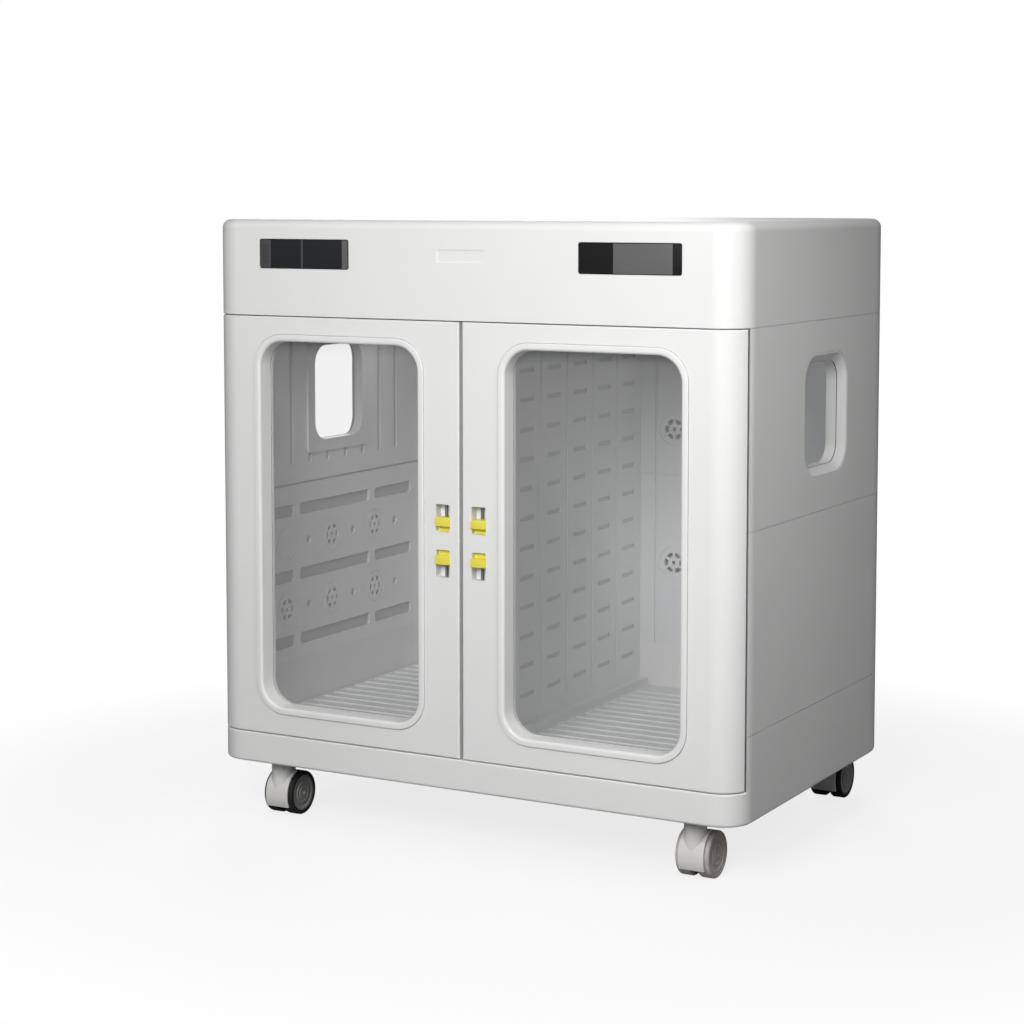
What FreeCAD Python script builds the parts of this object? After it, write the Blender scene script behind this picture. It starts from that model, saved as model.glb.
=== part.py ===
"""Two-bay warming cabinet on four twin-wheel casters.

Frame: origin on the floor under the middle of the cabinet, +X to the right as seen
from the front, -Y towards the front, +Z up.  Millimetres.
"""
import FreeCAD
import Part
import math
import os

Vector = FreeCAD.Vector

# ---------------------------------------------------------------- driving sizes
cabinet_width = 780.0
cabinet_depth = 540.0
overall_height = 820.0
caster_height = 82.0
front_corner_radius = 40.0
rear_corner_radius = 85.0
top_edge_radius = 12.0

sill_height = 41.4            # front lip of the base tray
rim_height = 110.6            # side and rear rim of the base tray
lower_panel_height = 251.4    # lower side panels, up to the middle seam
head_height = 128.0           # control head

outer_panel = 14.0            # outer wall panels
liner_wall = 8.0              # inner wall panels
liner_corner_radius = 28.0
panel_corner_radius = 46.0    # meeting surface of panel and liner at the rear corners
skin = 3.5                    # moulded skins and flanges
deck = 8.4                    # floor plate of the base tray
base_rib_pitch = (150.0, 120.0)
base_rib_setback = 10.0       # ribs end above the tray's lower edge
seam_width = 1.0
seam_depth = 1.2
edge_round = 2.0              # outer edges of the doors, the front lip and the grips' surround
foot_round = 4.0              # lower outer edge of the base tray

# doors
door_thickness = 30.0
door_liner = 3.5
door_centre_gap = 5.0
door_end_gap = 1.2
frame_gap = 3.5               # door inner face to the cabinet's front frame
seal_thickness = 3.0
seal_width = 8.0
hinge_inset_x = 13.0          # pin axis, in from the side face
hinge_set_in = 7.0            # pin axis ahead of the door's inner face
hinge_pin_radius = 2.5
hinge_pin_depth = 14.0
hinge_pin_flange = 3.6
hinge_pin_head = 2.0
hinge_boss_radius = 8.0
hinge_boss_floor = 4.0        # plastic below the pin's end
knuckle_radius = 9.75
knuckle_gap = 2.5
running = 0.05                # radial clearance of running fits

# door windows
window_side_inset = 79.5      # cabinet side face to the window opening
window_middle_inset = 64.5    # middle of the cabinet to the window opening
window_bottom = 37.8          # door bottom edge to the window opening
window_top = 33.1             # window opening to the door top edge
window_radius = 34.0
bezel_width = 9.5
bezel_thickness = 2.5
bezel_proud = 2.0
bezel_gap = 0.6               # shadow line round the bezel
bezel_outer_round = 1.5
bezel_inner_round = 4.0
jamb_wall = 2.5
pane_thickness = 3.0
pane_overlap = 3.0            # pane behind the jamb, each way
fit = 0.3                     # clearance between fixed pieces

# slide latches
latch_axis = 26.6             # from the middle of the cabinet
latch_slot_width = 20.7
latch_slot_height = 35.9
latch_slot_depth = 13.5
latch_slot_round = 2.0
latch_spacing = 23.2          # between the upper and the lower slot
latch_travel = 16.8
grip_height = 11.4
grip_width = 22.4
grip_proud = 2.0
grip_gap = 0.4                # grip's back to the door's face
grip_round = 1.0
slider_height = 18.8
slider_setback = 6.0          # block's face behind the door's face
slider_side_gap = 0.4
slider_round = 1.8
guide_wall = 1.6
rod_radius = 2.0
rod_setback = 10.0            # rod axis behind the front face
rod_clearance = 0.6
rod_end_gap = 1.0             # drawn-in rod's end below the door's edge
rod_root = 3.0                # rod's start inside the slider

# chamber
floor_panel = 4.6
floor_rib = 2.0
floor_rib_width = 5.0
floor_rib_pitch = 27.5
floor_edge_gap = 2.0
stop_height = 12.6            # door stop above the deck and below the ceiling
stop_depth = 7.5
divider_half = 5.0
rail_half = 18.0
rail_height = 12.0
post_half = 16.0
post_depth = 31.0
ceiling = 6.0

# liner decoration
groove_pitch = 46.0
groove_width = 9.0
groove_depth = 2.5
groove_inset = 26.0           # groove ends to the middle seam and the ceiling
groove_start = 69.0           # door stop to the first groove
band_height = 17.0
band_depth = 4.0
band_round = 5.0
band_inset = 37.5             # middle seam to the first band
band_pitch = 93.5
band_start = 24.0             # door stop to the bands
band_end = 43.0               # bands to the rear wall
band_break_front = 126.5      # door stop to the first break
band_break_rear = 152.5       # last break to the rear wall
band_break = 15.0
column_pitch = 116.0
rosette_start = 101.0         # door stop to the first rosette
dimple_start = 156.0
column_end = 60.0             # last column to the rear wall, at least
rosette_radius = 15.0
rosette_rim = 24.0
rosette_rim_width = 2.0
rosette_slot = 3.0
rosette_spoke = 1.8
dimple_radius = 6.0
rear_rosette_x = (59.0, 182.0)
rear_rosette_rise = 67.0      # above the middle seam
rear_rosette_drop = 130.0     # below the middle seam
rear_groove_x = (28.0, 33.0)
louvre_pitch = (77.0, 40.0)   # along the divider and up it
louvre_start = (39.5, 48.0)   # front edge and floor to the first
louvre_end = (41.0, 36.0)     # last to the rear wall and the ceiling, at least
louvre_width = 40.0
louvre_height = 6.0
louvre_depth = 2.5
bead_width = 4.0
bead_inset = 30.0

# air slots of the rear panel
rear_slot_width = 8.0
rear_slot_height = 40.0
rear_slot_drop = 35.0
rear_slot_pitch = 18.0

# side hand windows
hand_window_y = 4.0
hand_window_drop = 123.0      # ceiling to the middle of the window
hand_window_width = 125.0
hand_window_height = 136.0
hand_window_radius = 27.0
hand_window_lip = 12.0
hand_window_tube = 4.0
hand_window_flange = 17.0
hand_window_flange_depth = 3.0
hand_window_flange_round = 6.0
hand_window_bevel = 9.5       # depth of the bevelled mouth
hand_window_brim = 2.0

# head
head_wall = 4.0
display_inset = 150.5         # side face to the middle of the display
display_width = 141.0
display_height = 39.0
display_drop = 45.5           # top to the middle of the display
display_radius = 3.0
display_depth = 9.0
display_setback = 0.6
display_flange = 5.0
plate_width = 70.0
plate_height = 16.0
plate_depth = 1.2
plate_round = 2.0
head_play = 0.4

# fans, heaters and electronics
fan_x = 190.0
supply_width = 130.0
supply_depth = 100.0
supply_height = 38.0
sheet = 1.5                   # sheet metal of its case
heater_inset = 105.0          # rear face to the heaters
fan_spacing = 105.0           # heaters to the fans
fan_frame = 92.0
fan_height = 25.0
fan_bore_radius = 43.5
impeller_radius = 42.0
impeller_blades = 7
motor_radius = 14.0
fan_shaft_radius = 2.0
inlet_x = -120.0
switch_x = -70.0
inlet_half = (23.7, 11.7)
switch_half = (13.7, 10.7)
head_vent_x = (78.0, 222.0)
head_vent_pitch = 9.0
head_vent_width = 4.0
head_vent_half = 15.0
fitting_rise = 56.0           # ceiling to the inlet and the switch
rocker_tilt = 8.0
rocker_half = 9.6
rocker_half_height = 7.6
rocker_pin_radius = 1.5
rocker_pin_half = 9.9

# casters
caster_inset_x = 78.0
caster_inset_y = 46.0
caster_trail = 18.0
wheel_radius = 30.0
wheel_width = 18.0
wheel_inner = 5.0             # from the middle of the caster
tyre_thickness = 5.5
axle_radius = 3.0
hood_gap = 1.5                # tyre to the hood's inside
hood_wall = 2.5
hood_half = 17.5
web_half = 3.5
stem_radius = 5.0
boss_radius = 14.5
plate_side = 54.0
plate_thickness = 3.0
plate_corner = 8.0
cup_radius = 10.0
cup_height = 2.7
screw_offset = 20.0
screw_radius = 2.4
screw_head_radius = 4.5
screw_head_height = 2.5
screw_length = 10.0

# ---------------------------------------------------------------- derived places
half_width = cabinet_width / 2
front = -cabinet_depth / 2
rear = cabinet_depth / 2
base_bottom = caster_height
sill_top = base_bottom + sill_height
rim_top = base_bottom + rim_height
middle_seam = rim_top + lower_panel_height
head_bottom = overall_height - head_height
wall = outer_panel + liner_wall
door_back = front + door_thickness
door_liner_front = door_back - door_liner
frame_front = door_back + frame_gap
door_bottom = sill_top + door_end_gap
door_top = head_bottom - door_end_gap
hinge_x = half_width - hinge_inset_x
hinge_y = door_back - hinge_set_in
window_x = (window_middle_inset, half_width - window_side_inset)
window_z = (door_bottom + window_bottom, door_top - window_top)
floor_top = sill_top + floor_panel
ceiling_bottom = head_bottom
rod_y = front + rod_setback
latch_middle = (door_bottom + door_top) / 2
hand_window_z = head_bottom - hand_window_drop
display_middle = half_width - display_inset
display_level = overall_height - display_drop
rear_fitting_z = head_bottom + fitting_rise
heater_y = rear - heater_inset
fan_y = heater_y - fan_spacing
caster_x = half_width - caster_inset_x
caster_y = rear - caster_inset_y
hood_radius = wheel_radius + hood_gap + hood_wall
wheel_axle_z = wheel_radius
inner_x = half_width - wall
inner_rear = rear - wall
stop_back = frame_front + stop_depth

os.makedirs("parts", exist_ok=True)
axis_x = Vector(1, 0, 0)
axis_y = Vector(0, 1, 0)
axis_z = Vector(0, 0, 1)
sides = ("left", "right")


# ---------------------------------------------------------------- shape helpers
def box(xs, ys, zs):
    """Block between limits along X, Y and Z."""
    return Part.makeBox(xs[1] - xs[0], ys[1] - ys[0], zs[1] - zs[0], Vector(xs[0], ys[0], zs[0]))


def bar(radius, start, end):
    """Round bar between two points."""
    start, end = Vector(*start), Vector(*end)
    return Part.makeCylinder(radius, (end - start).Length, start, end - start)


def rect(us, vs, radius=0.0):
    """Corners of a rectangle, each with the same rounding."""
    return [(us[0], vs[0], radius), (us[1], vs[0], radius), (us[1], vs[1], radius), (us[0], vs[1], radius)]


def rounded_wire(corners, place):
    """Closed wire through (u, v, radius) corners; place turns (u, v) into a point."""
    points = [Vector(u, v, 0) for u, v, _ in corners]
    runs = []
    for number, (_, _, radius) in enumerate(corners):
        here = points[number]
        back = (points[number - 1] - here).normalize()
        ahead = (points[(number + 1) % len(points)] - here).normalize()
        if radius == 0:
            runs.append((here, None, here))
            continue
        half = back.getAngle(ahead) / 2
        middle = (back + ahead).normalize()
        reach = radius / math.tan(half)
        centre = here + middle * (radius / math.sin(half))
        runs.append((here + back * reach, centre - middle * radius, here + ahead * reach))
    edges = []
    for number, (start, middle, end) in enumerate(runs):
        if middle is not None:
            edges.append(Part.Arc(*(place(p.x, p.y) for p in (start, middle, end))).toShape())
        following = runs[(number + 1) % len(runs)][0]
        if (following - end).Length > 1e-6:
            edges.append(Part.makeLine(place(end.x, end.y), place(following.x, following.y)))
    return Part.Wire(edges)


def prism_x(corners, xs):
    """Outline in Y and Z, drawn out along X."""
    wire = rounded_wire(corners, lambda u, v: Vector(xs[0], u, v))
    return Part.Face(wire).extrude(axis_x * (xs[1] - xs[0]))


def prism_y(corners, ys):
    """Outline in X and Z, drawn out along Y."""
    wire = rounded_wire(corners, lambda u, v: Vector(u, ys[0], v))
    return Part.Face(wire).extrude(axis_y * (ys[1] - ys[0]))


def prism_z(corners, zs):
    """Outline in X and Y, drawn out along Z."""
    wire = rounded_wire(corners, lambda u, v: Vector(u, v, zs[0]))
    return Part.Face(wire).extrude(axis_z * (zs[1] - zs[0]))


def fuse(*shapes):
    """One solid from several that touch."""
    return shapes[0].fuse(list(shapes[1:])).removeSplitter()


def cut(shape, *tools):
    """Shape with the tools taken away."""
    return shape.cut(list(tools)).removeSplitter()


def mirrored(shape):
    """Copy on the other side of the cabinet's middle plane."""
    return shape.mirror(Vector(0, 0, 0), axis_x)


def moved(shape, x=0.0, y=0.0, z=0.0):
    """Copy shifted by a step."""
    return shape.translated(Vector(x, y, z))


def rounded(shape, radius, chosen):
    """Shape with a fillet on each edge whose bounding box passes the test."""
    return shape.makeFillet(radius, [edge for edge in shape.Edges if chosen(edge.BoundBox)])


def flat_at(low, high, level):
    """True if both limits of an edge lie on a level."""
    return abs(low - level) < 1e-3 and abs(high - level) < 1e-3


def grown(corners_of, margin, radius):
    """Rectangle (us, vs) widened by a margin, with rounded corners."""
    us, vs = corners_of
    return rect((us[0] - margin, us[1] + margin), (vs[0] - margin, vs[1] + margin), radius)


def spaced(first, last, pitch):
    """Places at a pitch, from the first up to no further than the last."""
    return [first + n * pitch for n in range(int((last - first) / pitch + 1e-6) + 1)]


def plan(inset, front_radius, rear_radius):
    """Cabinet outline seen from above, moved in from the outer faces."""
    x = half_width - inset
    return [(-x, front + inset, front_radius), (x, front + inset, front_radius),
            (x, rear - inset, rear_radius), (-x, rear - inset, rear_radius)]


def save(name, *shapes):
    """Write one sub-part as a STEP file with one or more solids."""
    solids = [solid for shape in shapes for solid in shape.Solids]
    shape = solids[0] if len(solids) == 1 else Part.makeCompound(solids)
    shape.exportStep("parts/" + name + ".step")
    size = shape.BoundBox
    print("%-28s solids %2d valid %s volume %9.0f  x %.1f %.1f y %.1f %.1f z %.1f %.1f" % (
        name, len(solids), shape.isValid(), shape.Volume,
        size.XMin, size.XMax, size.YMin, size.YMax, size.ZMin, size.ZMax))


def save_pair(name, right_shape):
    """Write a right-hand piece and its mirrored left-hand twin."""
    save(name.replace("SIDE", "right"), right_shape)
    save(name.replace("SIDE", "left"), mirrored(right_shape))


# ---------------------------------------------------------------- shared cutting shapes
def outer_solid(zs):
    """Whole cabinet body between two levels."""
    return prism_z(plan(0, front_corner_radius, rear_corner_radius), zs)


def panel_core(zs):
    """Space inside the outer panels."""
    return prism_z(plan(outer_panel, 0, panel_corner_radius), zs)


def chamber_core(zs):
    """Space inside the liners."""
    return prism_z(plan(wall, 0, liner_corner_radius), zs)


def seam(level):
    """Shallow groove round the cabinet at a joint between panels."""
    zs = (level - seam_width / 2, level + seam_width / 2)
    ring = plan(seam_depth, front_corner_radius - seam_depth, rear_corner_radius - seam_depth)
    return cut(prism_z(plan(-5, front_corner_radius + 5, rear_corner_radius + 5), zs), prism_z(ring, zs))


def door_space(zs):
    """Room for both doors and the sweep of their hinge knuckles."""
    pieces = [box((-hinge_x, hinge_x), (front - 10, frame_front), zs)]
    for side in (-1, 1):
        outer = sorted((side * hinge_x, side * (half_width + 10)))
        pieces.append(box(outer, (front - 10, hinge_y), zs))
        pieces.append(bar(knuckle_radius + knuckle_gap, (side * hinge_x, hinge_y, zs[0]),
                          (side * hinge_x, hinge_y, zs[1])))
    return fuse(*pieces)


def caster_places():
    """Name and stem position of each caster."""
    for end, sign in (("front", -1), ("rear", 1)):
        for side, way in zip(sides, (-1, 1)):
            yield end + "_" + side, way * caster_x, sign * caster_y


def hinge_places():
    """Pin axis positions of the two doors."""
    return [(way * hinge_x, hinge_y) for way in (-1, 1)]


def rod_places():
    """Bolt rod axis positions of the two doors."""
    return [(way * latch_axis, rod_y) for way in (-1, 1)]


# ---------------------------------------------------------------- base
def base_tray():
    """Tub with a deck, a low front lip, a hollow double rim and caster bosses."""
    low, high = base_bottom, rim_top
    body = rounded(outer_solid((low, high)), foot_round, lambda edge: flat_at(edge.ZMin, edge.ZMax, low))
    above_deck = cut(chamber_core((sill_top, high + 1)), box((-half_width, half_width), (front, stop_back),
                                                             (sill_top, sill_top + stop_height)))
    lip_space = door_space((sill_top, high + 1))
    under_deck = prism_z(plan(wall, front_corner_radius - wall, liner_corner_radius),
                         (low - 1, sill_top - deck))
    rim_slot = cut(prism_z(plan(skin, front_corner_radius - skin, rear_corner_radius - skin),
                           (low - 1, high - skin)),
                   prism_z(plan(wall - skin, front_corner_radius - wall + skin, liner_corner_radius + skin),
                           (low - 1, high - skin)),
                   box((-half_width, half_width), (front, stop_back + 20), (low - 1, high)))
    body = cut(body, above_deck, lip_space)
    body = rounded(body, edge_round, lambda edge: flat_at(edge.ZMin, edge.ZMax, sill_top)
                   and edge.YMin < front + 1)
    body = cut(body, under_deck, rim_slot, seam(rim_top))
    for _, x, y in caster_places():
        body = fuse(body, bar(plate_side / 2 + 5, (x, y, low), (x, y, sill_top - deck / 2)))
    for x, y in hinge_places():
        boss = bar(hinge_boss_radius, (x, y, sill_top - hinge_pin_depth - hinge_boss_floor),
                   (x, y, sill_top - deck / 2))
        body = fuse(body, boss.common(outer_solid((low, high))))
    rib_zs = (low + base_rib_setback, sill_top - deck / 2)
    ribs = [box((-inner_x, inner_x), (n * base_rib_pitch[1] - skin / 2, n * base_rib_pitch[1] + skin / 2),
                rib_zs)
            for n in (-1, 0, 1)]
    ribs += [box((n * base_rib_pitch[0] - skin / 2, n * base_rib_pitch[0] + skin / 2),
                 (front + wall, inner_rear), rib_zs)
             for n in (-1, 0, 1)]
    body = fuse(body, *ribs)
    holes = []
    for _, x, y in caster_places():
        holes.append(bar(9.0, (x, y, low - 1), (x, y, low + 12)))
        holes += [bar(screw_radius, (x + i * screw_offset, y + j * screw_offset, low - 1),
                      (x + i * screw_offset, y + j * screw_offset, low + screw_length + 2))
                  for i in (-1, 1) for j in (-1, 1)]
    for x, y in hinge_places():
        holes.append(bar(hinge_pin_radius, (x, y, sill_top - hinge_pin_depth), (x, y, sill_top + 1)))
    for x, y in rod_places():
        holes.append(bar(rod_radius + rod_clearance, (x, y, sill_top - latch_travel - 6),
                         (x, y, sill_top + 1)))
    return cut(body, *holes)


def floor_panel_right():
    """Ribbed floor of one bay."""
    edge = floor_edge_gap
    outline = [(edge / 2, stop_back + edge, 0), (inner_x - edge, stop_back + edge, 0),
               (inner_x - edge, inner_rear - edge, liner_corner_radius - edge),
               (edge / 2, inner_rear - edge, 0)]
    plate = prism_z(outline, (sill_top, floor_top))
    first = stop_back + edge + floor_rib_pitch / 2
    count = int((inner_rear - edge - first) / floor_rib_pitch)
    ribs = [prism_z(rect((rail_half + 6, inner_x - 8), (first + n * floor_rib_pitch - floor_rib_width / 2,
                                                       first + n * floor_rib_pitch + floor_rib_width / 2),
                                                       2.4),
                    (floor_top - 1, floor_top + floor_rib)) for n in range(count)]
    return fuse(plate, *ribs)


# ---------------------------------------------------------------- walls
def hand_window(margin, xs, radius=None):
    """Rounded block for the side hand window, widened by a margin."""
    corner = hand_window_radius + margin if radius is None else radius
    ys = (hand_window_y - hand_window_width / 2, hand_window_y + hand_window_width / 2)
    zs = (hand_window_z - hand_window_height / 2, hand_window_z + hand_window_height / 2)
    return prism_x(grown((ys, zs), margin, corner), xs)


def wall_ring(outer, inner, zs):
    """Ring of wall between two solids, without the door's space."""
    return cut(outer, inner, door_space(zs))


def side_part(ring, zs, joint_x):
    """Right-hand share of a wall ring, up to the joint on the rear face."""
    return ring.common(box((joint_x, half_width + 10), (front, rear + 10), zs))


def side_panel_right(zs, with_window):
    """Outer side panel with its rear corner, hollow behind the skin."""
    ring = wall_ring(outer_solid(zs), panel_core(zs), zs)
    panel = side_part(ring, zs, half_width - rear_corner_radius)
    pocket = box((half_width - outer_panel - 1, half_width - skin),
                 (front + 50, rear - rear_corner_radius - 5),
                 (zs[0] + 12, zs[1] - 12))
    if with_window:
        pocket = cut(pocket, hand_window(hand_window_lip + 8, (half_width - outer_panel - 1, half_width)))
    panel = cut(panel, pocket, seam(zs[0]), seam(zs[1]))
    if with_window:
        panel = cut(panel, hand_window(hand_window_lip + fit, (inner_x, half_width + 5)))
    return panel


def rear_panel():
    """Flat outer panel across the back, with a row of air slots."""
    x = half_width - rear_corner_radius
    zs = (rim_top, head_bottom)
    panel = box((-x, x), (rear - outer_panel, rear), zs)
    pockets = [box((low + 10, high - 10), (rear - outer_panel - 1, rear - skin), (zs[0] + 15, zs[1] - 15))
               for low, high in ((-x, 0), (0, x))]
    half = rear_slot_width / 2
    slots = [prism_y(rect((way * along - half, way * along + half),
                          (zs[1] - rear_slot_drop - rear_slot_height, zs[1] - rear_slot_drop), half - 0.1),
                     (rear - 20, rear + 5))
             for way in (-1, 1) for along in spaced(2 * rear_slot_pitch, x - 50, rear_slot_pitch)]
    return cut(panel, *pockets, *slots, seam(zs[0]), seam(middle_seam), seam(zs[1]))


def rosette(radius, rim, slot_count=6):
    """Cutting shape of a round vent about +X: a ring of curved slots inside a fine groove."""
    pieces = [cut(bar(rim, (-groove_depth / 2, 0, 0), (1, 0, 0)),
                  bar(rim - rosette_rim_width, (-groove_depth, 0, 0), (2, 0, 0)))]
    ring = cut(bar(radius, (-20, 0, 0), (1, 0, 0)), bar(radius - 2 * rosette_slot, (-21, 0, 0), (2, 0, 0)))
    for n in range(slot_count):
        spoke = box((-21, 2), (-rosette_spoke, rosette_spoke), (0, radius + 1))
        spoke.rotate(Vector(0, 0, 0), axis_x, 360.0 * n / slot_count)
        ring = ring.cut(spoke)
    pieces.append(ring)
    pieces.append(bar(rosette_slot, (-20, 0, 0), (1, 0, 0)))
    return pieces


def turned_back(shape):
    """Cutting shape that goes into a wall along -X, turned to go into the rear wall along +Y."""
    copy = shape.copy()
    copy.rotate(Vector(0, 0, 0), axis_z, -90)
    return copy


def liner_right():
    """Inner side wall with grooves above the middle seam and bands, vents and dimples below it."""
    zs = (rim_top, head_bottom)
    ring = wall_ring(panel_core(zs), chamber_core(zs), zs)
    liner = side_part(ring, zs, half_width - rear_corner_radius)
    face = (inner_x - 1, inner_x + groove_depth)
    last = inner_rear - column_end
    tools = [box(face, (front, rear), (middle_seam - 2, middle_seam + 1))]
    for y in spaced(stop_back + groove_start, last, groove_pitch):
        tools.append(prism_x(rect((y - groove_width / 2, y + groove_width / 2),
                                  (middle_seam + groove_inset, head_bottom - groove_inset),
                                  groove_width / 2 - 0.1), face))
    bands = spaced(-(middle_seam - band_inset), -(rim_top + band_height), band_pitch)
    breaks = (stop_back + band_break_front, inner_rear - band_break_rear)
    spans = ((stop_back + band_start, breaks[0] - band_break / 2),
             (breaks[0] + band_break / 2, breaks[1] - band_break / 2),
             (breaks[1] + band_break / 2, inner_rear - band_end))
    for z in (-level for level in bands):
        for ys in spans:
            tools.append(prism_x(rect(ys, (z - band_height / 2, z + band_height / 2), band_round),
                                 (inner_x - 1, inner_x + band_depth)))
    for row, level in enumerate(bands[:-1]):
        z = -level - band_pitch / 2
        for column, y in enumerate(spaced(stop_back + rosette_start, last, column_pitch)):
            shapes = rosette(rosette_radius, rosette_rim)
            if row == 0 and column == 0:
                shapes = shapes[:1]
            tools += [moved(mirrored(shape), inner_x, y, z) for shape in shapes]
        tools += [bar(dimple_radius, (inner_x - 1, y, z), (inner_x + groove_depth, y, z))
                  for y in spaced(stop_back + dimple_start, last, column_pitch)]
    tools.append(hand_window(hand_window_tube + fit, (inner_x - 5, half_width)))
    return cut(liner, *tools)


def liner_rear():
    """Inner rear wall behind both bays."""
    x = half_width - rear_corner_radius
    zs = (rim_top, head_bottom)
    panel = box((-x, x), (inner_rear, inner_rear + liner_wall), zs)
    tools = [box((-x, x), (inner_rear - 1, inner_rear + groove_depth), (middle_seam - 2, middle_seam + 1))]
    for way in (-1, 1):
        for z in (middle_seam + rear_rosette_rise, middle_seam - rear_rosette_drop):
            for place in rear_rosette_x:
                tools += [moved(turned_back(shape), way * place, inner_rear, z)
                          for shape in rosette(rosette_radius, rosette_rim)]
        tools.append(box(sorted(way * x for x in rear_groove_x), (inner_rear - 1, inner_rear + groove_depth),
                         (rim_top, head_bottom)))
    return cut(panel, *tools)


def window_frame_right():
    """Bevelled frame through the side wall round the hand window."""
    lip = hand_window(hand_window_lip, (half_width - outer_panel, half_width - 0.5))
    tube = hand_window(hand_window_tube, (inner_x, half_width - outer_panel))
    flange = hand_window(hand_window_flange, (inner_x - hand_window_flange_depth, inner_x),
                         hand_window_flange_round)
    opening = hand_window(0, (inner_x - 10, half_width + 5))
    ys = (hand_window_y - hand_window_width / 2, hand_window_y + hand_window_width / 2)
    zs = (hand_window_z - hand_window_height / 2, hand_window_z + hand_window_height / 2)
    mouth = half_width - fit
    spread = hand_window_lip - hand_window_brim
    near = rounded_wire(grown((ys, zs), 0, hand_window_radius),
                        lambda u, v: Vector(mouth - hand_window_bevel, u, v))
    far = rounded_wire(grown((ys, zs), spread, hand_window_radius + spread), lambda u, v: Vector(mouth, u, v))
    return cut(fuse(lip, tube, flange), opening, Part.makeLoft([near, far], True, True))


# ---------------------------------------------------------------- divider
def stop_zone():
    """Door stops of the base and the ceiling, which the post fits between."""
    return [box((-half_width, half_width), (front, stop_back), (base_bottom, sill_top + stop_height)),
            box((-half_width, half_width), (front, stop_back),
                (ceiling_bottom - stop_height, ceiling_bottom))]


def centre_post():
    """Front upright that the doors close against."""
    post = box((-post_half, post_half), (frame_front, frame_front + post_depth), (floor_top, ceiling_bottom))
    slot = box((-divider_half, divider_half), (frame_front + post_depth - 12, frame_front + post_depth + 1),
               (floor_top, ceiling_bottom))
    return cut(post, slot, *stop_zone())


def divider_front():
    """Front edge of the divider, in the slot of the post."""
    return frame_front + post_depth - 12


def divider():
    """Upright panel between the bays, with columns of short louvre grooves on both faces."""
    half = divider_half - 0.25
    ys = (divider_front(), inner_rear)
    zs = (floor_top, ceiling_bottom)
    panel = box((-half, half), ys, zs)
    tools = []
    columns = spaced(ys[0] + louvre_start[0], ys[1] - louvre_end[0], louvre_pitch[0])
    rows = spaced(zs[0] + louvre_start[1], zs[1] - louvre_end[1], louvre_pitch[1])
    for way in (-1, 1):
        for y in columns:
            for z in rows:
                tools.append(box(sorted((way * (half - louvre_depth), way * (half + 1))),
                                 (y - louvre_width / 2, y + louvre_width / 2), (z, z + louvre_height)))
        for y in columns[:-1]:
            middle = y + louvre_pitch[0] / 2
            tools.append(box(sorted((way * (half - 1.0), way * (half + 1))),
                             (middle - bead_width / 2, middle + bead_width / 2),
                             (zs[0] + bead_inset, zs[1] - bead_inset)))
    return cut(panel, *tools)


def divider_rails():
    """Foot and head channels that hold the divider."""
    ys = (frame_front + post_depth, inner_rear)
    slot = box((-divider_half, divider_half), (ys[0] - 1, ys[1] + 1), (floor_top - 1, ceiling_bottom + 1))
    foot = box((-rail_half, rail_half), ys, (floor_top, floor_top + rail_height))
    head = box((-rail_half, rail_half), ys, (ceiling_bottom - rail_height, ceiling_bottom))
    rails = []
    for rail, zs in ((foot, (floor_top, floor_top + rail_height)),
                     (head, (ceiling_bottom - rail_height, ceiling_bottom))):
        rails += cut(rail, slot).Solids
    return rails


# ---------------------------------------------------------------- head
def display_zone(side, margin, ys):
    """Rounded block of a display opening."""
    x = (-1 if side == "left" else 1) * display_middle
    return prism_y(rect((x - display_width / 2 - margin, x + display_width / 2 + margin),
                        (display_level - display_height / 2 - margin,
                         display_level + display_height / 2 + margin),
                        display_radius + margin), ys)


def head_shell():
    """Control head: one moulding, open below."""
    zs = (head_bottom, overall_height)
    shell = rounded(outer_solid(zs), top_edge_radius, lambda edge: flat_at(edge.ZMin, edge.ZMax, zs[1]))
    hollow = prism_z(plan(head_wall, front_corner_radius - head_wall, rear_corner_radius - head_wall),
                     (zs[0] - 1, zs[1] - head_wall))
    hollow = rounded(hollow, top_edge_radius - head_wall,
                     lambda edge: flat_at(edge.ZMin, edge.ZMax, zs[1] - head_wall))
    tools = [hollow, seam(zs[0])]
    tools += [display_zone(side, fit, (front - 5, front + head_wall + 5)) for side in sides]
    tools.append(prism_y(rect((-plate_width / 2, plate_width / 2),
                              (display_level - plate_height / 2, display_level + plate_height / 2),
                              plate_round),
                         (front - 5, front + plate_depth)))
    through = (rear - 10, rear + 5)
    for x, half_x, half_z in ((inlet_x, inlet_half[0], inlet_half[1]),
                              (switch_x, switch_half[0], switch_half[1])):
        tools.append(box((x - half_x - fit, x + half_x + fit), through,
                         (rear_fitting_z - half_z - fit, rear_fitting_z + half_z + fit)))
    for x in spaced(head_vent_x[0], head_vent_x[1], head_vent_pitch):
        tools.append(prism_y(rect((x - head_vent_width / 2, x + head_vent_width / 2),
                                  (rear_fitting_z - head_vent_half, rear_fitting_z + head_vent_half),
                                  head_vent_width / 2 - 0.1), through))
    return cut(shell, *tools)


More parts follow.
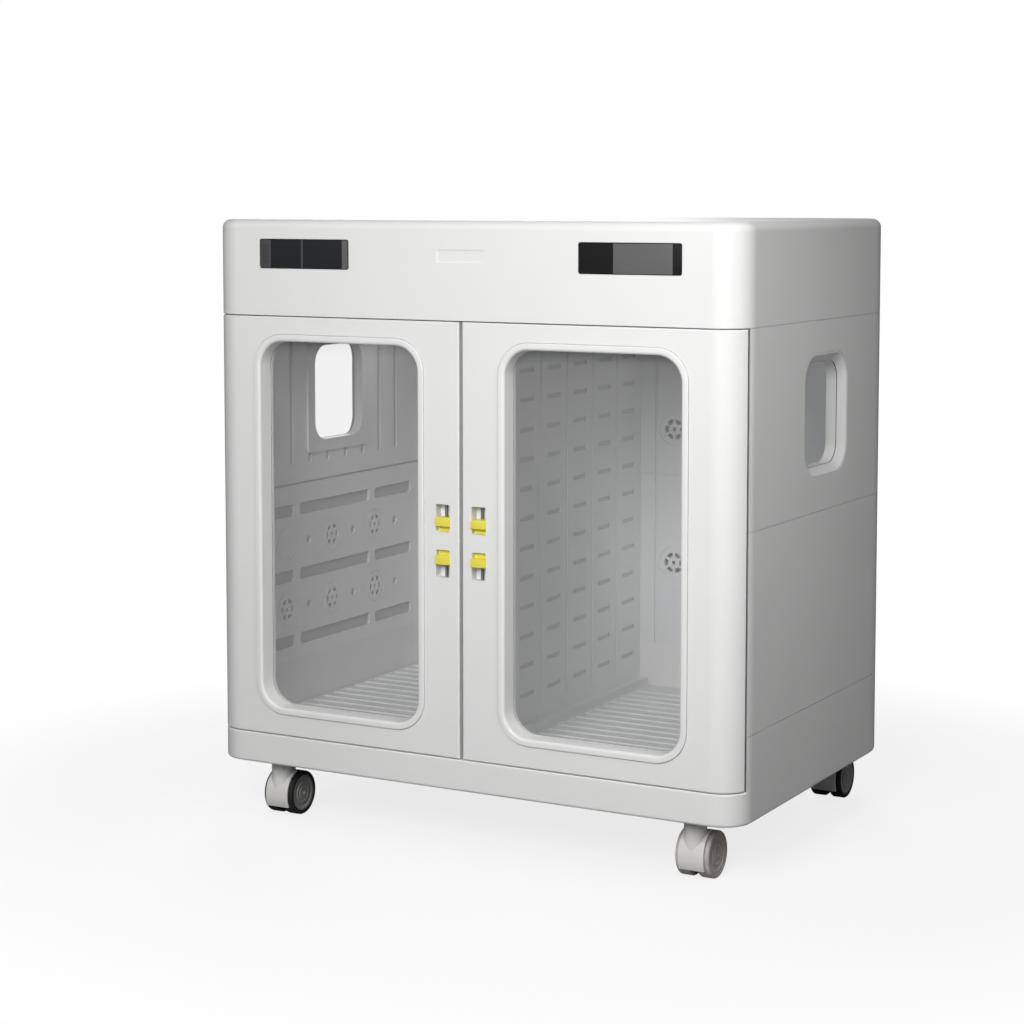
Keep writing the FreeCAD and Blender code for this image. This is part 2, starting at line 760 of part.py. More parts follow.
def chamber_ceiling():
    """Floor of the head and ceiling of the bays, with fan grilles and warm-air slots."""
    inset = head_wall + head_play
    plate = prism_z(plan(inset, front_corner_radius - inset, rear_corner_radius - inset),
                    (ceiling_bottom, ceiling_bottom + ceiling))
    stop = box((-inner_x, inner_x), (frame_front, stop_back), (ceiling_bottom - stop_height, ceiling_bottom))
    plate = fuse(plate, stop)
    zs = (ceiling_bottom - 1, ceiling_bottom + ceiling + 1)
    tools = []
    for way in (-1, 1):
        for ring, count in ((10.0, 6), (19.0, 12), (28.0, 18), (37.0, 24)):
            for n in range(count):
                angle = 2 * math.pi * n / count
                x, y = way * fan_x + ring * math.cos(angle), fan_y + ring * math.sin(angle)
                tools.append(bar(2.8, (x, y, zs[0]), (x, y, zs[1])))
        for n in range(-4, 5):
            tools.append(prism_z(rect((way * fan_x + n * 11.0 - 2.5, way * fan_x + n * 11.0 + 2.5),
                                      (heater_y - 16, heater_y + 16), 2.4), zs))
        tools.append(bar(3.0, (way * fan_x, probe_y(), zs[0]), (way * fan_x, probe_y(), zs[1])))
    tools += [bar(hinge_pin_radius, (x, y, zs[0]), (x, y, zs[1])) for x, y in hinge_places()]
    tools += [bar(rod_radius + rod_clearance, (x, y, zs[0]), (x, y, zs[1])) for x, y in rod_places()]
    return cut(plate, *tools)


def probe_y():
    """Depth position of the temperature probes."""
    return heater_y + 50.0


def temperature_probes():
    """One short probe through the ceiling of each bay."""
    top = ceiling_bottom + ceiling
    return [fuse(bar(3.0, (way * fan_x, probe_y(), ceiling_bottom - 18), (way * fan_x, probe_y(), top)),
                 bar(6.0, (way * fan_x, probe_y(), top), (way * fan_x, probe_y(), top + 4)))
            for way in (-1, 1)]


def display(side):
    """Dark-fronted display unit in the head's front wall."""
    window = display_zone(side, 0, (front + display_setback, front + display_depth))
    flange = display_zone(side, display_flange, (front + head_wall, front + display_depth))
    return fuse(window, flange)


def controller_board():
    """Upright circuit board behind the displays, with its larger parts."""
    y = front + 22.0
    low = ceiling_bottom + ceiling
    board = box((-110, 110), (y, y + 1.6), (low, low + 62))
    parts = [box((x, x + w), (y + 1.6, y + 1.6 + d), (low + z, low + z + h)) for x, w, d, z, h in (
        (-95, 30, 12, 12, 22), (-50, 18, 4, 30, 18), (-20, 40, 16, 10, 30), (35, 22, 22, 10, 22),
        (72, 24, 10, 34, 14))]
    return fuse(board, *parts)


def power_supply():
    """Vented metal case of the power supply."""
    low = ceiling_bottom + ceiling
    ys = (heater_y - supply_depth / 2 - 15, heater_y + supply_depth / 2 - 15)
    half, high = supply_width / 2, supply_height
    case = box((-half, half), ys, (low, low + high))
    inside = box((-half + sheet, half - sheet), (ys[0] + sheet, ys[1] - sheet),
                 (low + sheet, low + high - sheet))
    slots = [box((x, x + 4), (ys[0] + 15, ys[1] - 15), (low + high - 8, low + high + 7))
             for x in spaced(15 - half, half - 15, 10.0)]
    return cut(case, inside, *slots)


def heaters():
    """Finned warm-air heater above the slots of each bay."""
    low = ceiling_bottom + ceiling
    shapes = []
    for way in (-1, 1):
        x = way * fan_x
        block = box((x - 55, x + 55), (heater_y - 18, heater_y + 18), (low, low + 26))
        gaps = [box((x - 50 + n * 5.0, x - 47 + n * 5.0), (heater_y - 15, heater_y + 15), (low - 1, low + 27))
                for n in range(20)]
        shapes.append(cut(block, *gaps))
    return shapes


def fan_housing(way):
    """Square fan frame with a motor cup on struts and the fixed shaft."""
    x, low = way * fan_x, ceiling_bottom + ceiling
    half = fan_frame / 2
    frame = cut(prism_z(rect((x - half, x + half), (fan_y - half, fan_y + half), 5.0),
                        (low, low + fan_height)),
                bar(fan_bore_radius, (x, fan_y, low - 1), (x, fan_y, low + fan_height + 1)))
    struts = [box((x - fan_bore_radius - 1, x + fan_bore_radius + 1), (fan_y - 2.5, fan_y + 2.5),
                  (low, low + 3)),
              box((x - 2.5, x + 2.5), (fan_y - fan_bore_radius - 1, fan_y + fan_bore_radius + 1),
                  (low, low + 3))]
    cup = bar(motor_radius, (x, fan_y, low), (x, fan_y, low + 14))
    shaft = bar(fan_shaft_radius, (x, fan_y, low + 13), (x, fan_y, low + fan_height - 1))
    return fuse(frame, *struts, cup, shaft)


def impeller(way):
    """Hub and pitched blades that turn on the fan's shaft."""
    x, low = way * fan_x, ceiling_bottom + ceiling
    hub = cut(bar(motor_radius + 3, (0, 0, low + 5), (0, 0, low + 20)),
              bar(motor_radius + 0.8, (0, 0, low + 4), (0, 0, low + 15.5)),
              bar(fan_shaft_radius + running, (0, 0, low), (0, 0, low + 30)))
    blades = []
    for n in range(impeller_blades):
        blade = box((motor_radius + 2, impeller_radius + 5), (-0.7, 0.7), (-10, 10))
        blade.rotate(Vector(0, 0, 0), axis_x, 50)
        blade.rotate(Vector(0, 0, 0), axis_z, 360.0 * n / impeller_blades)
        blades.append(moved(blade, 0, 0, low + 12.5))
    ring = cut(bar(impeller_radius, (0, 0, low + 5), (0, 0, low + 20)),
               bar(motor_radius + 2, (0, 0, low), (0, 0, low + 30)))
    return moved(fuse(hub, *[blade.common(ring) for blade in blades]), x, fan_y, 0)


def power_inlet():
    """Mains inlet and the switch body beside it, in the head's rear wall."""
    z = rear_fitting_z
    flange = cut(prism_y(rect((inlet_x - 29, inlet_x + 29), (z - 15, z + 15), 3.0), (rear, rear + 2)),
                 box((inlet_x - 20, inlet_x + 20), (rear - 1, rear + 5), (z - 9, z + 9)))
    body = cut(box((inlet_x - inlet_half[0], inlet_x + inlet_half[0]), (rear - 22, rear),
                   (z - inlet_half[1], z + inlet_half[1])),
               box((inlet_x - 20, inlet_x + 20), (rear - 18, rear + 5), (z - 9, z + 9)))
    pins = [box((inlet_x + x - 1, inlet_x + x + 1), (rear - 20, rear - 3), (z + dz - 2.5, z + dz + 2.5))
            for x, dz in ((-7, -2), (0, 2), (7, -2))]
    switch_flange = cut(prism_y(rect((switch_x - 17, switch_x + 17), (z - 14, z + 14), 2.0),
                                (rear, rear + 2)),
                        box((switch_x - 10, switch_x + 10), (rear - 1, rear + 5), (z - 8.5, z + 8.5)))
    switch_body = cut(box((switch_x - switch_half[0], switch_x + switch_half[0]), (rear - 20, rear),
                          (z - switch_half[1], z + switch_half[1])),
                      box((switch_x - 10, switch_x + 10), (rear - 14, rear + 5), (z - 8.5, z + 8.5)))
    return [fuse(flange, body, *pins), fuse(switch_flange, switch_body)]


def power_switch():
    """Rocker cap, pressed at its upper end, that tips about an axis along X."""
    y, z = rear - 4.0, rear_fitting_z
    high = rocker_half_height
    slope = math.tan(math.radians(rocker_tilt)) * high
    outline = [(y - 6, z - 4.0, 1.0), (y - 6, z + 4.0, 1.0), (y + 4 + slope, z + high, 0.6), (y + 4, z, 8.0),
               (y + 4 + slope, z - high, 0.6)]
    cap = prism_x(outline, (switch_x - rocker_half, switch_x + rocker_half))
    cap.rotate(Vector(switch_x, y, z), axis_x, -rocker_tilt)
    return fuse(cap, bar(rocker_pin_radius, (switch_x - rocker_pin_half, y, z),
                         (switch_x + rocker_pin_half, y, z)))


# ---------------------------------------------------------------- doors
def door_outline(ys, inset=0.0):
    """Right-hand door seen from above, with its hinge knuckle, as a solid of the door's height."""
    zs = (door_bottom + inset, door_top - inset)
    slab = prism_z(plan(inset, front_corner_radius - inset, rear_corner_radius - inset), zs)
    slab = slab.common(box((door_centre_gap / 2 + inset, half_width + 5), ys, zs))
    quadrant = cut(box((hinge_x, half_width + 10), (hinge_y, 0), zs),
                   bar(knuckle_radius, (hinge_x, hinge_y, zs[0]), (hinge_x, hinge_y, zs[1])))
    return cut(slab, quadrant)


def window_block(margin, ys):
    """Rounded block of the door window, widened by a margin."""
    return prism_y(grown((window_x, window_z), margin, window_radius + margin), ys)


def latch_levels():
    """Lower and upper limit of each latch slot."""
    upper = latch_middle + latch_spacing / 2
    lower = latch_middle - latch_spacing / 2
    return {"upper": (upper, upper + latch_slot_height), "lower": (lower - latch_slot_height, lower)}


def latch_slot(level, margin, ys):
    """Block of one latch slot in the right-hand door."""
    half = latch_slot_width / 2
    return prism_y(grown(((latch_axis - half, latch_axis + half), latch_levels()[level]), margin,
                         latch_slot_round + margin), ys)


def door_shell():
    """Outer shell of the right-hand door, open at the back."""
    shell = door_outline((front - 5, door_liner_front))
    shell = rounded(shell, edge_round, lambda edge: flat_at(edge.XMin, edge.XMax, door_centre_gap / 2)
                    and flat_at(edge.YMin, edge.YMax, front)
                    or edge.YMin < front + 1 and edge.XMax > window_x[1]
                    and (flat_at(edge.ZMin, edge.ZMax, door_bottom) or
                         flat_at(edge.ZMin, edge.ZMax, door_top)))
    pocket_x = (door_centre_gap / 2 + skin, hinge_x - 12)
    pocket = box(pocket_x, (front + skin, door_liner_front + 1), (door_bottom + skin, door_top - skin))
    surround = window_block(jamb_wall + fit + skin, (front, door_liner_front - pane_thickness - fit))
    pocket = cut(pocket, surround)
    tools = [pocket, window_block(jamb_wall + fit, (front - 5, door_back)),
             window_block(bezel_width + bezel_gap, (front - 5, front + bezel_thickness))]
    tools += [latch_slot(level, 0, (front - 5, front + skin + 1)) for level in ("upper", "lower")]
    for low, high in ((door_bottom - 1, door_bottom + hinge_pin_depth + 1),
                      (door_top - hinge_pin_depth - 1, door_top + 1)):
        tools.append(bar(hinge_pin_radius + running, (hinge_x, hinge_y, low), (hinge_x, hinge_y, high)))
    for low, high in ((door_bottom - 1, door_bottom + skin + 1), (door_top - skin - 1, door_top + 1)):
        tools.append(bar(rod_radius + rod_clearance, (latch_axis, rod_y, low), (latch_axis, rod_y, high)))
    return cut(shell, *tools)


def door_liner_plate():
    """Inner plate that closes the back of the door, round the window."""
    return cut(door_outline((door_liner_front, door_back)), window_block(0, (front, door_back + 5)))


def door_window():
    """Clear pane between the jamb and the inner plate."""
    return window_block(pane_overlap, (door_liner_front - pane_thickness, door_liner_front))


def window_bezel():
    """Trim ring with a deep jamb that lines the window opening."""
    ring = rounded(window_block(bezel_width, (front - bezel_proud, front + bezel_thickness)),
                   bezel_outer_round,
                   lambda edge: flat_at(edge.YMin, edge.YMax, front - bezel_proud))
    jamb = window_block(jamb_wall, (front, door_liner_front - pane_thickness))
    trim = cut(fuse(ring, jamb), window_block(0, (front - 5, door_back)))
    return rounded(trim, bezel_inner_round, lambda edge: flat_at(edge.YMin, edge.YMax, front - bezel_proud)
                   and edge.XMin > window_x[0] - 0.1 and edge.XMax < window_x[1] + 0.1)


def door_seal():
    """Soft gasket round the door's inner face."""
    inset = 3.0
    outer = rect((door_centre_gap / 2 + inset, hinge_x - 6), (door_bottom + inset, door_top - inset), 6.0)
    inner = rect((door_centre_gap / 2 + inset + seal_width, hinge_x - 6 - seal_width),
                 (door_bottom + inset + seal_width, door_top - inset - seal_width), 3.0)
    ys = (door_back, door_back + seal_thickness)
    return cut(prism_y(outer, ys), prism_y(inner, ys))


def latch_guides():
    """Cups behind the two latch slots, which guide the bolt rods."""
    shapes = []
    for level in ("upper", "lower"):
        low, high = latch_levels()[level]
        cup = latch_slot(level, guide_wall, (front + skin, front + latch_slot_depth + guide_wall))
        inside = latch_slot(level, 0, (front, front + latch_slot_depth))
        rod = bar(rod_radius + rod_clearance, (latch_axis, rod_y, low - 5), (latch_axis, rod_y, high + 5))
        shapes.append(cut(cup, inside, rod))
    return shapes


def latch(level):
    """Slide with its grip, and the bolt rod that it pushes past the door's edge."""
    low, high = latch_levels()[level]
    play = (latch_slot_height - slider_height - latch_travel) / 2
    up = level == "upper"
    bottom = low + play if up else high - play - slider_height
    zs = (bottom, bottom + slider_height)
    grip_zs = (zs[1] - grip_height, zs[1]) if up else (zs[0], zs[0] + grip_height)
    base = (latch_axis - latch_slot_width / 2 + slider_side_gap,
            latch_axis + latch_slot_width / 2 - slider_side_gap)
    block = prism_y(rect(base, zs, slider_round),
                    (front + slider_setback, front + latch_slot_depth - slider_side_gap))
    neck = prism_y(rect(base, grip_zs, slider_round), (front - grip_proud / 2, front + slider_setback))
    grip = prism_y(rect((latch_axis - grip_width / 2, latch_axis + grip_width / 2), grip_zs, grip_round),
                   (front - grip_proud, front - grip_gap))
    grip = rounded(grip, grip_round / 2, lambda edge: flat_at(edge.YMin, edge.YMax, front - grip_proud))
    slide = fuse(block, neck, grip)
    ends = (zs[0] + rod_root, door_top - rod_end_gap) if up else (door_bottom + rod_end_gap, zs[1] - rod_root)
    rod = bar(rod_radius, (latch_axis, rod_y, ends[0]), (latch_axis, rod_y, ends[1]))
    return [cut(slide, rod), rod]


# ---------------------------------------------------------------- casters and hinge pins
def hinge_pins():
    """Two pins per door, fixed in the base and in the ceiling plate."""
    top = ceiling_bottom + ceiling
    shapes = []
    for x, y in hinge_places():
        shapes.append(bar(hinge_pin_radius, (x, y, sill_top - hinge_pin_depth),
                          (x, y, door_bottom + hinge_pin_depth)))
        shapes.append(fuse(bar(hinge_pin_radius, (x, y, door_top - hinge_pin_depth), (x, y, top)),
                           bar(hinge_pin_flange, (x, y, top), (x, y, top + hinge_pin_head))))
    return shapes


def caster_plates():
    """Mounting plate with a swivel cup for each caster."""
    low = base_bottom - plate_thickness
    shapes = []
    for _, x, y in caster_places():
        half = plate_side / 2
        plate = prism_z(rect((x - half, x + half), (y - half, y + half), plate_corner), (low, base_bottom))
        cup = bar(cup_radius, (x, y, low - cup_height), (x, y, low))
        holes = [bar(screw_radius + fit, (x + i * screw_offset, y + j * screw_offset, low - 1),
                     (x + i * screw_offset, y + j * screw_offset, base_bottom + 1))
                 for i in (-1, 1) for j in (-1, 1)]
        holes.append(bar(stem_radius + running, (x, y, low - 10), (x, y, base_bottom + 1)))
        shapes.append(cut(fuse(plate, cup), *holes))
    return shapes


def caster_screws():
    """Four pan-head screws through each plate."""
    low = base_bottom - plate_thickness
    shapes = []
    for _, x, y in caster_places():
        for i in (-1, 1):
            for j in (-1, 1):
                u, v = x + i * screw_offset, y + j * screw_offset
                shapes.append(fuse(bar(screw_head_radius, (u, v, low - screw_head_height), (u, v, low)),
                                   bar(screw_radius, (u, v, low), (u, v, base_bottom + screw_length))))
    return shapes


def caster_hood(x, y):
    """Hood, middle web and swivel boss of one caster, with its steel stem and axle."""
    axle_y, axle_z = y + caster_trail, wheel_axle_z
    inner = hood_radius - hood_wall
    disc = bar(hood_radius, (x - hood_half, axle_y, axle_z), (x + hood_half, axle_y, axle_z))
    bore = bar(inner, (x - 30, axle_y, axle_z), (x + 30, axle_y, axle_z))
    angles = [math.radians(a) for a in (-28.0, 75.0)]
    reach = 3 * hood_radius
    corners = [(axle_y, axle_z, 0)] + [(axle_y - reach * math.cos(a), axle_z + reach * math.sin(a), 0)
                                       for a in angles]
    sector = prism_x(corners, (x - 30, x + 30))
    fender = rounded(cut(disc.common(sector), bore), 1.0, lambda edge: edge.YMin < axle_y - hood_radius + 1)
    web = fuse(disc, bar(axle_radius + 4, (x - web_half, axle_y, axle_z),
                         (x + web_half, axle_y, axle_z))).common(
        box((x - web_half, x + web_half), (axle_y - hood_radius, axle_y + axle_radius + 6),
            (axle_z - 14, axle_z + hood_radius)))
    boss_top = base_bottom - plate_thickness - cup_height - fit
    boss = cut(bar(boss_radius, (x, y, axle_z), (x, y, boss_top)), bore)
    stem_head = base_bottom + 2
    stem = fuse(bar(stem_radius, (x, y, axle_z + hood_radius - 12), (x, y, stem_head)),
                bar(stem_radius + 2.5, (x, y, stem_head), (x, y, stem_head + 3)))
    axle = bar(axle_radius, (x - wheel_inner - wheel_width + 3, axle_y, axle_z),
               (x + wheel_inner + wheel_width - 3, axle_y, axle_z))
    hood = cut(fuse(fender, web, boss), stem, axle)
    return [hood, stem, axle]


def wheel(x, y, way):
    """Tyre on a dished hub, one of the twin wheels of a caster."""
    axle_y, axle_z = y + caster_trail, wheel_axle_z
    near, far = wheel_inner, wheel_inner + wheel_width
    rim = wheel_radius - tyre_thickness

    def turned(outline):
        """Ring from an outline of (distance out, radius, rounding) corners."""
        wire = rounded_wire(outline, lambda u, v: Vector(x + way * u, axle_y, axle_z + v))
        return Part.Face(wire).revolve(Vector(x, axle_y, axle_z), axis_x, 360).Solids[0]

    tyre = turned([(near, rim, 0), (far, rim, 0), (far, wheel_radius, 2.5), (near, wheel_radius, 2.5)])
    hub = turned([(near, axle_radius + running, 0), (far - 2, axle_radius + running, 0),
                  (far - 2, rim - 14.5, 0.5),
                  (far - 3, rim - 13.5, 0.5), (far - 3, rim - 6.5, 0.5), (far - 1, rim - 5.0, 0.5),
                  (far - 0.6, rim, 0), (near, rim, 0)])
    return [tyre, hub]


# ---------------------------------------------------------------- write every sub-part
save("base_tray", base_tray())
save_pair("floor_panel_SIDE", floor_panel_right())
save_pair("side_panel_SIDE_lower", side_panel_right((rim_top, middle_seam), False))
save_pair("side_panel_SIDE_upper", side_panel_right((middle_seam, head_bottom), True))
save("rear_panel", rear_panel())
save_pair("liner_SIDE", liner_right())
save("liner_rear", liner_rear())
save_pair("hand_window_frame_SIDE", window_frame_right())
save("centre_post", centre_post())
save("divider", divider())
save("divider_rails", *divider_rails())
save("head_shell", head_shell())
save("chamber_ceiling", chamber_ceiling())
for side in sides:
    save("display_" + side, display(side))
save("controller_board", controller_board())
save("power_supply", power_supply())
save("heaters", *heaters())
save("fan_housings", fan_housing(-1), fan_housing(1))
save("impeller_left", impeller(-1))
save("impeller_right", impeller(1))
save("temperature_probes", *temperature_probes())
save("power_inlet", *power_inlet())
save("power_switch", power_switch())
save_pair("door_shell_SIDE", door_shell())
save_pair("door_liner_SIDE", door_liner_plate())
save_pair("door_window_SIDE", door_window())
save_pair("window_bezel_SIDE", window_bezel())
save_pair("door_seal_SIDE", door_seal())
save_pair("latch_guides_SIDE", Part.makeCompound(latch_guides()))
for level in ("upper", "lower"):
    save_pair("latch_SIDE_" + level, Part.makeCompound(latch(level)))
save("hinge_pins", *hinge_pins())
save("caster_plates", *caster_plates())
save("caster_screws", *caster_screws())
for place, x, y in caster_places():
    save("caster_hood_" + place, *caster_hood(x, y))
    for way, hand in ((-1, "left"), (1, "right")):
        save("wheel_" + place + "_" + hand, *wheel(x, y, way))
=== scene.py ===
"""Looks of the two-bay warming cabinet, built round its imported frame."""
from __future__ import annotations

import logging
import math
from dataclasses import dataclass, field
from enum import Enum
from typing import Dict, List, Optional, Sequence, Tuple, Union

import bpy
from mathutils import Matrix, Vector


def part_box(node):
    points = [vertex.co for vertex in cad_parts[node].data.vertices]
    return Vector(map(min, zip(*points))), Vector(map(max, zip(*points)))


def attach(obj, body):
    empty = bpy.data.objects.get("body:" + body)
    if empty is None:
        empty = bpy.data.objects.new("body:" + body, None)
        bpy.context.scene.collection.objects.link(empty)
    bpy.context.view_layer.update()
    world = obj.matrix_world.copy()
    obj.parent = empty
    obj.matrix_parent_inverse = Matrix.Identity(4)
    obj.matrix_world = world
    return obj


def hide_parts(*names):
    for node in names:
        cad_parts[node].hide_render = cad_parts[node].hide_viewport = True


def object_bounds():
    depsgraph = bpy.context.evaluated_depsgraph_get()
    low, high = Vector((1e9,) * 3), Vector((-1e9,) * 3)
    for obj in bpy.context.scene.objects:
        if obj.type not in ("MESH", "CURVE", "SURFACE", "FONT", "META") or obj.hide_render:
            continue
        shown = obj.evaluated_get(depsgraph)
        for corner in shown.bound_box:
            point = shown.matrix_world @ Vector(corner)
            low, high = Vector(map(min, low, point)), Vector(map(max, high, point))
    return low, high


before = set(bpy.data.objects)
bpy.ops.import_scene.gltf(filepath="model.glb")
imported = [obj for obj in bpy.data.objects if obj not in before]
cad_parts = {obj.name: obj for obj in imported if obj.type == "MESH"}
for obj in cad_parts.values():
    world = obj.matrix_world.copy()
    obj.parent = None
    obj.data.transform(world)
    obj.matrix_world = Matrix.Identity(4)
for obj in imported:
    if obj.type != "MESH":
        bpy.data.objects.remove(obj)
CAD_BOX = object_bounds()

LOG = logging.getLogger("warming_cabinet")
MM = 0.001
CREASE = math.radians(35.0)
Colour = Tuple[float, float, float]
Ring = List[Vector]


def tint(red: int, green: int, blue: int) -> Colour:
    """Turn screen values from 0 to 255 into a linear colour.

    Args:
        red: Red share.
        green: Green share.
        blue: Blue share.

    Returns:
        The linear colour.
    """
    def linear(level: float) -> float:
        """Undo the screen curve for one share."""
        return level / 12.92 if level <= 0.04045 else ((level + 0.055) / 1.055) ** 2.4
    return linear(red / 255), linear(green / 255), linear(blue / 255)


# ------------------------------------------------------------------ shader maths
class Value:
    """A number that varies over a surface, whose arithmetic adds Math nodes."""

    def __init__(self, graph: "Graph", socket: bpy.types.NodeSocket) -> None:
        """Wrap an output socket of a graph."""
        self.graph = graph
        self.socket = socket

    def _join(self, operation: str, first: "Number", second: "Number") -> "Value":
        """Add one Math node on two numbers."""
        return self.graph.value("ShaderNodeMath", {"operation": operation}, {0: first, 1: second})

    def __add__(self, other: "Number") -> "Value":
        """Sum."""
        return self._join("ADD", self, other)

    def __radd__(self, other: "Number") -> "Value":
        """Sum, with the value on the right."""
        return self._join("ADD", other, self)

    def __sub__(self, other: "Number") -> "Value":
        """Difference."""
        return self._join("SUBTRACT", self, other)

    def __rsub__(self, other: "Number") -> "Value":
        """Difference, with the value on the right."""
        return self._join("SUBTRACT", other, self)

    def __mul__(self, other: "Number") -> "Value":
        """Product."""
        return self._join("MULTIPLY", self, other)

    def __rmul__(self, other: "Number") -> "Value":
        """Product, with the value on the right."""
        return self._join("MULTIPLY", other, self)

    def above(self, limit: "Number") -> "Value":
        """1 where the value is over the limit, else 0."""
        return self._join("GREATER_THAN", self, limit)

    def wave(self) -> "Value":
        """Sine of the value."""
        return self._join("SINE", self, 0.0)


Number = Union[float, Value]
Input = Union[float, Sequence[float], Value, bpy.types.NodeSocket]


class Graph:
    """Node tree of one material, in which every kind of node comes from one method."""

    def __init__(self, name: str) -> None:
        """Start an empty material.

        Args:
            name: Name of the material.
        """
        self.material = bpy.data.materials.new(name)
        self.material.use_nodes = True
        self.tree = self.material.node_tree
        self.tree.nodes.clear()

    def node(self, kind: str, settings: Optional[Dict] = None, inputs: Optional[Dict] = None) -> bpy.types.Node:
        """Add a node.

        Args:
            kind: Type of the node.
            settings: Its properties, set before its sockets.
            inputs: Values or links of its sockets, by name or number.

        Returns:
            The node.
        """
        node = self.tree.nodes.new(kind)
        for key, setting in (settings or {}).items():
            if key == "stops":
                self._set_stops(node, setting)
            else:
                setattr(node, key, setting)
        for key, given in (inputs or {}).items():
            self._feed(node.inputs[key], given)
        return node

    @staticmethod
    def _set_stops(node: bpy.types.Node, stops: Sequence[Tuple[float, Colour]]) -> None:
        """Give a ramp its stops, in order."""
        elements = node.color_ramp.elements
        while len(elements) < len(stops):
            elements.new(0.5)
        for element, (place, colour) in zip(elements, stops):
            element.position = place
            element.color = (*colour, 1.0)

    def _feed(self, socket: bpy.types.NodeSocket, given: Input) -> None:
        """Link a socket, or set its own value."""
        if isinstance(given, Value):
            self.tree.links.new(given.socket, socket)
        elif isinstance(given, bpy.types.NodeSocket):
            self.tree.links.new(given, socket)
        elif socket.type == "RGBA" and len(given) == 3:
            socket.default_value = (*given, 1.0)
        else:
            socket.default_value = given

    def value(self, kind: str, settings: Optional[Dict] = None, inputs: Optional[Dict] = None,
              output: Union[int, str] = 0) -> Value:
        """Add a node and wrap one of its outputs as a number."""
        return Value(self, self.node(kind, settings, inputs).outputs[output])

    def place(self) -> bpy.types.NodeSocket:
        """Position on the cabinet at rest, in metres."""
        return self.node("ShaderNodeTexCoord").outputs["Object"]

    def along(self, axis: str) -> Value:
        """Position along one axis, in metres."""
        return self.value("ShaderNodeSeparateXYZ", None, {0: self.place()}, axis)

    def noise(self, size: float, detail: float = 3.0, stretch: Sequence[float] = (1, 1, 1)) -> Value:
        """Soft noise from 0 to 1.

        Args:
            size: Size of its blotches in metres.
            detail: Octaves of finer noise.
            stretch: How much finer it is along each axis.

        Returns:
            The noise.
        """
        mapped = self.node("ShaderNodeMapping", None, {"Vector": self.place(), "Scale": stretch})
        return self.value("ShaderNodeTexNoise", None, {"Vector": mapped.outputs[0], "Scale": 1 / size,
                                                       "Detail": detail, "Roughness": 0.55}, "Fac")

    def blend(self, share: Number, first: Input, second: Input) -> bpy.types.NodeSocket:
        """Mix two colours."""
        node = self.node("ShaderNodeMix", {"data_type": "RGBA"}, {0: share, 6: first, 7: second})
        return node.outputs[2]

    def bump(self, height: Value, depth: float, strength: float) -> bpy.types.NodeSocket:
        """Surface normal of a fine relief.

        Args:
            height: Relief from 0 to 1.
            depth: Depth of the relief in metres.
            strength: Share of the relief that shows.

        Returns:
            The normal.
        """
        return self.node("ShaderNodeBump", None, {"Height": height, "Distance": depth,
                                                  "Strength": strength}).outputs[0]

    def finish(self, shader: bpy.types.Node) -> bpy.types.Material:
        """Close the tree with a surface shader and return the material."""
        self.node("ShaderNodeOutputMaterial", None, {"Surface": shader.outputs[0]})
        return self.material


# ------------------------------------------------------------------ finishes
@dataclass(frozen=True)
class MouldedPlastic:
    """Satin moulded plastic: a fine spark-eroded grain and faint flow variation."""

    name: str
    colour: Colour
    roughness: float = 0.42
    grain_size: float = 0.9 * MM
    grain_depth: float = 0.02 * MM
    variation: float = 0.03
    coat: float = 0.0
    # Distances from the middle plane between which the colour darkens into painted recess shade.
    recess: Optional[Tuple[float, float]] = None
    recess_shade: float = 0.6

    def material(self) -> bpy.types.Material:
        """Build the material, with painted shade in its recesses between two distances from the middle plane."""
        graph = Graph(self.name)
        flow = graph.noise(0.16, 2.0)
        shade = tuple(share * (1 - 2 * self.variation) for share in self.colour)
        colour = graph.blend(flow, self.colour, shade)
        # Painted shade: the colour darkens where the surface lies in a recess, beyond the first distance.
        if self.recess:
            dull = tuple(share * self.recess_shade for share in self.colour)
            x = graph.along("X")
            painted_shade_mask = graph.value("ShaderNodeMapRange", {"interpolation_type": "SMOOTHSTEP"}, {
                "Value": x * x, "From Min": self.recess[0] ** 2, "From Max": self.recess[1] ** 2})
            colour = graph.blend(painted_shade_mask, colour, dull)
        rough = self.roughness - 0.04 + 0.08 * graph.noise(0.03, 4.0)
        normal = graph.bump(graph.noise(self.grain_size, 2.0), self.grain_depth, 0.6)
        return graph.finish(graph.node("ShaderNodeBsdfPrincipled", None, {
            "Base Color": colour, "Roughness": rough, "Normal": normal,
            "IOR": 1.46, "Coat Weight": self.coat, "Coat Roughness": 0.2}))


@dataclass(frozen=True)
class ClearSheet:
    """Clear acrylic with a faint milky haze and a sheen that grows at a flat angle."""

    name: str
    colour: Colour
    haze: float = 0.10

    def material(self) -> bpy.types.Material:
        """Build the material."""
        graph = Graph(self.name)
        sheen = graph.value("ShaderNodeLayerWeight", None, {"Blend": 0.22}, "Fresnel")
        clear = graph.node("ShaderNodeBsdfTransparent", None, {"Color": (0.985, 0.985, 0.985)})
        face = graph.node("ShaderNodeBsdfPrincipled", None, {
            "Base Color": self.colour, "Roughness": 0.06 + 0.03 * graph.noise(0.08), "IOR": 1.49})
        share = self.haze + 0.35 * sheen
        mixed = graph.node("ShaderNodeMixShader", None, {0: share, 1: clear.outputs[0], 2: face.outputs[0]})
        return graph.finish(mixed)


@dataclass(frozen=True)
class SoftRubber:
    """Matt rubber with a dusty, slightly uneven face."""

    name: str
    colour: Colour
    roughness: float = 0.72

    def material(self) -> bpy.types.Material:
        """Build the material."""
        graph = Graph(self.name)
        dust = graph.noise(0.012, 5.0)
        dusty = tuple(share * 1.8 + 0.01 for share in self.colour)
        normal = graph.bump(graph.noise(0.7 * MM, 3.0), 0.05 * MM, 0.7)
        return graph.finish(graph.node("ShaderNodeBsdfPrincipled", None, {
            "Base Color": graph.blend(dust * dust, self.colour, dusty),
            "Roughness": self.roughness - 0.06 + 0.14 * dust, "Normal": normal}))


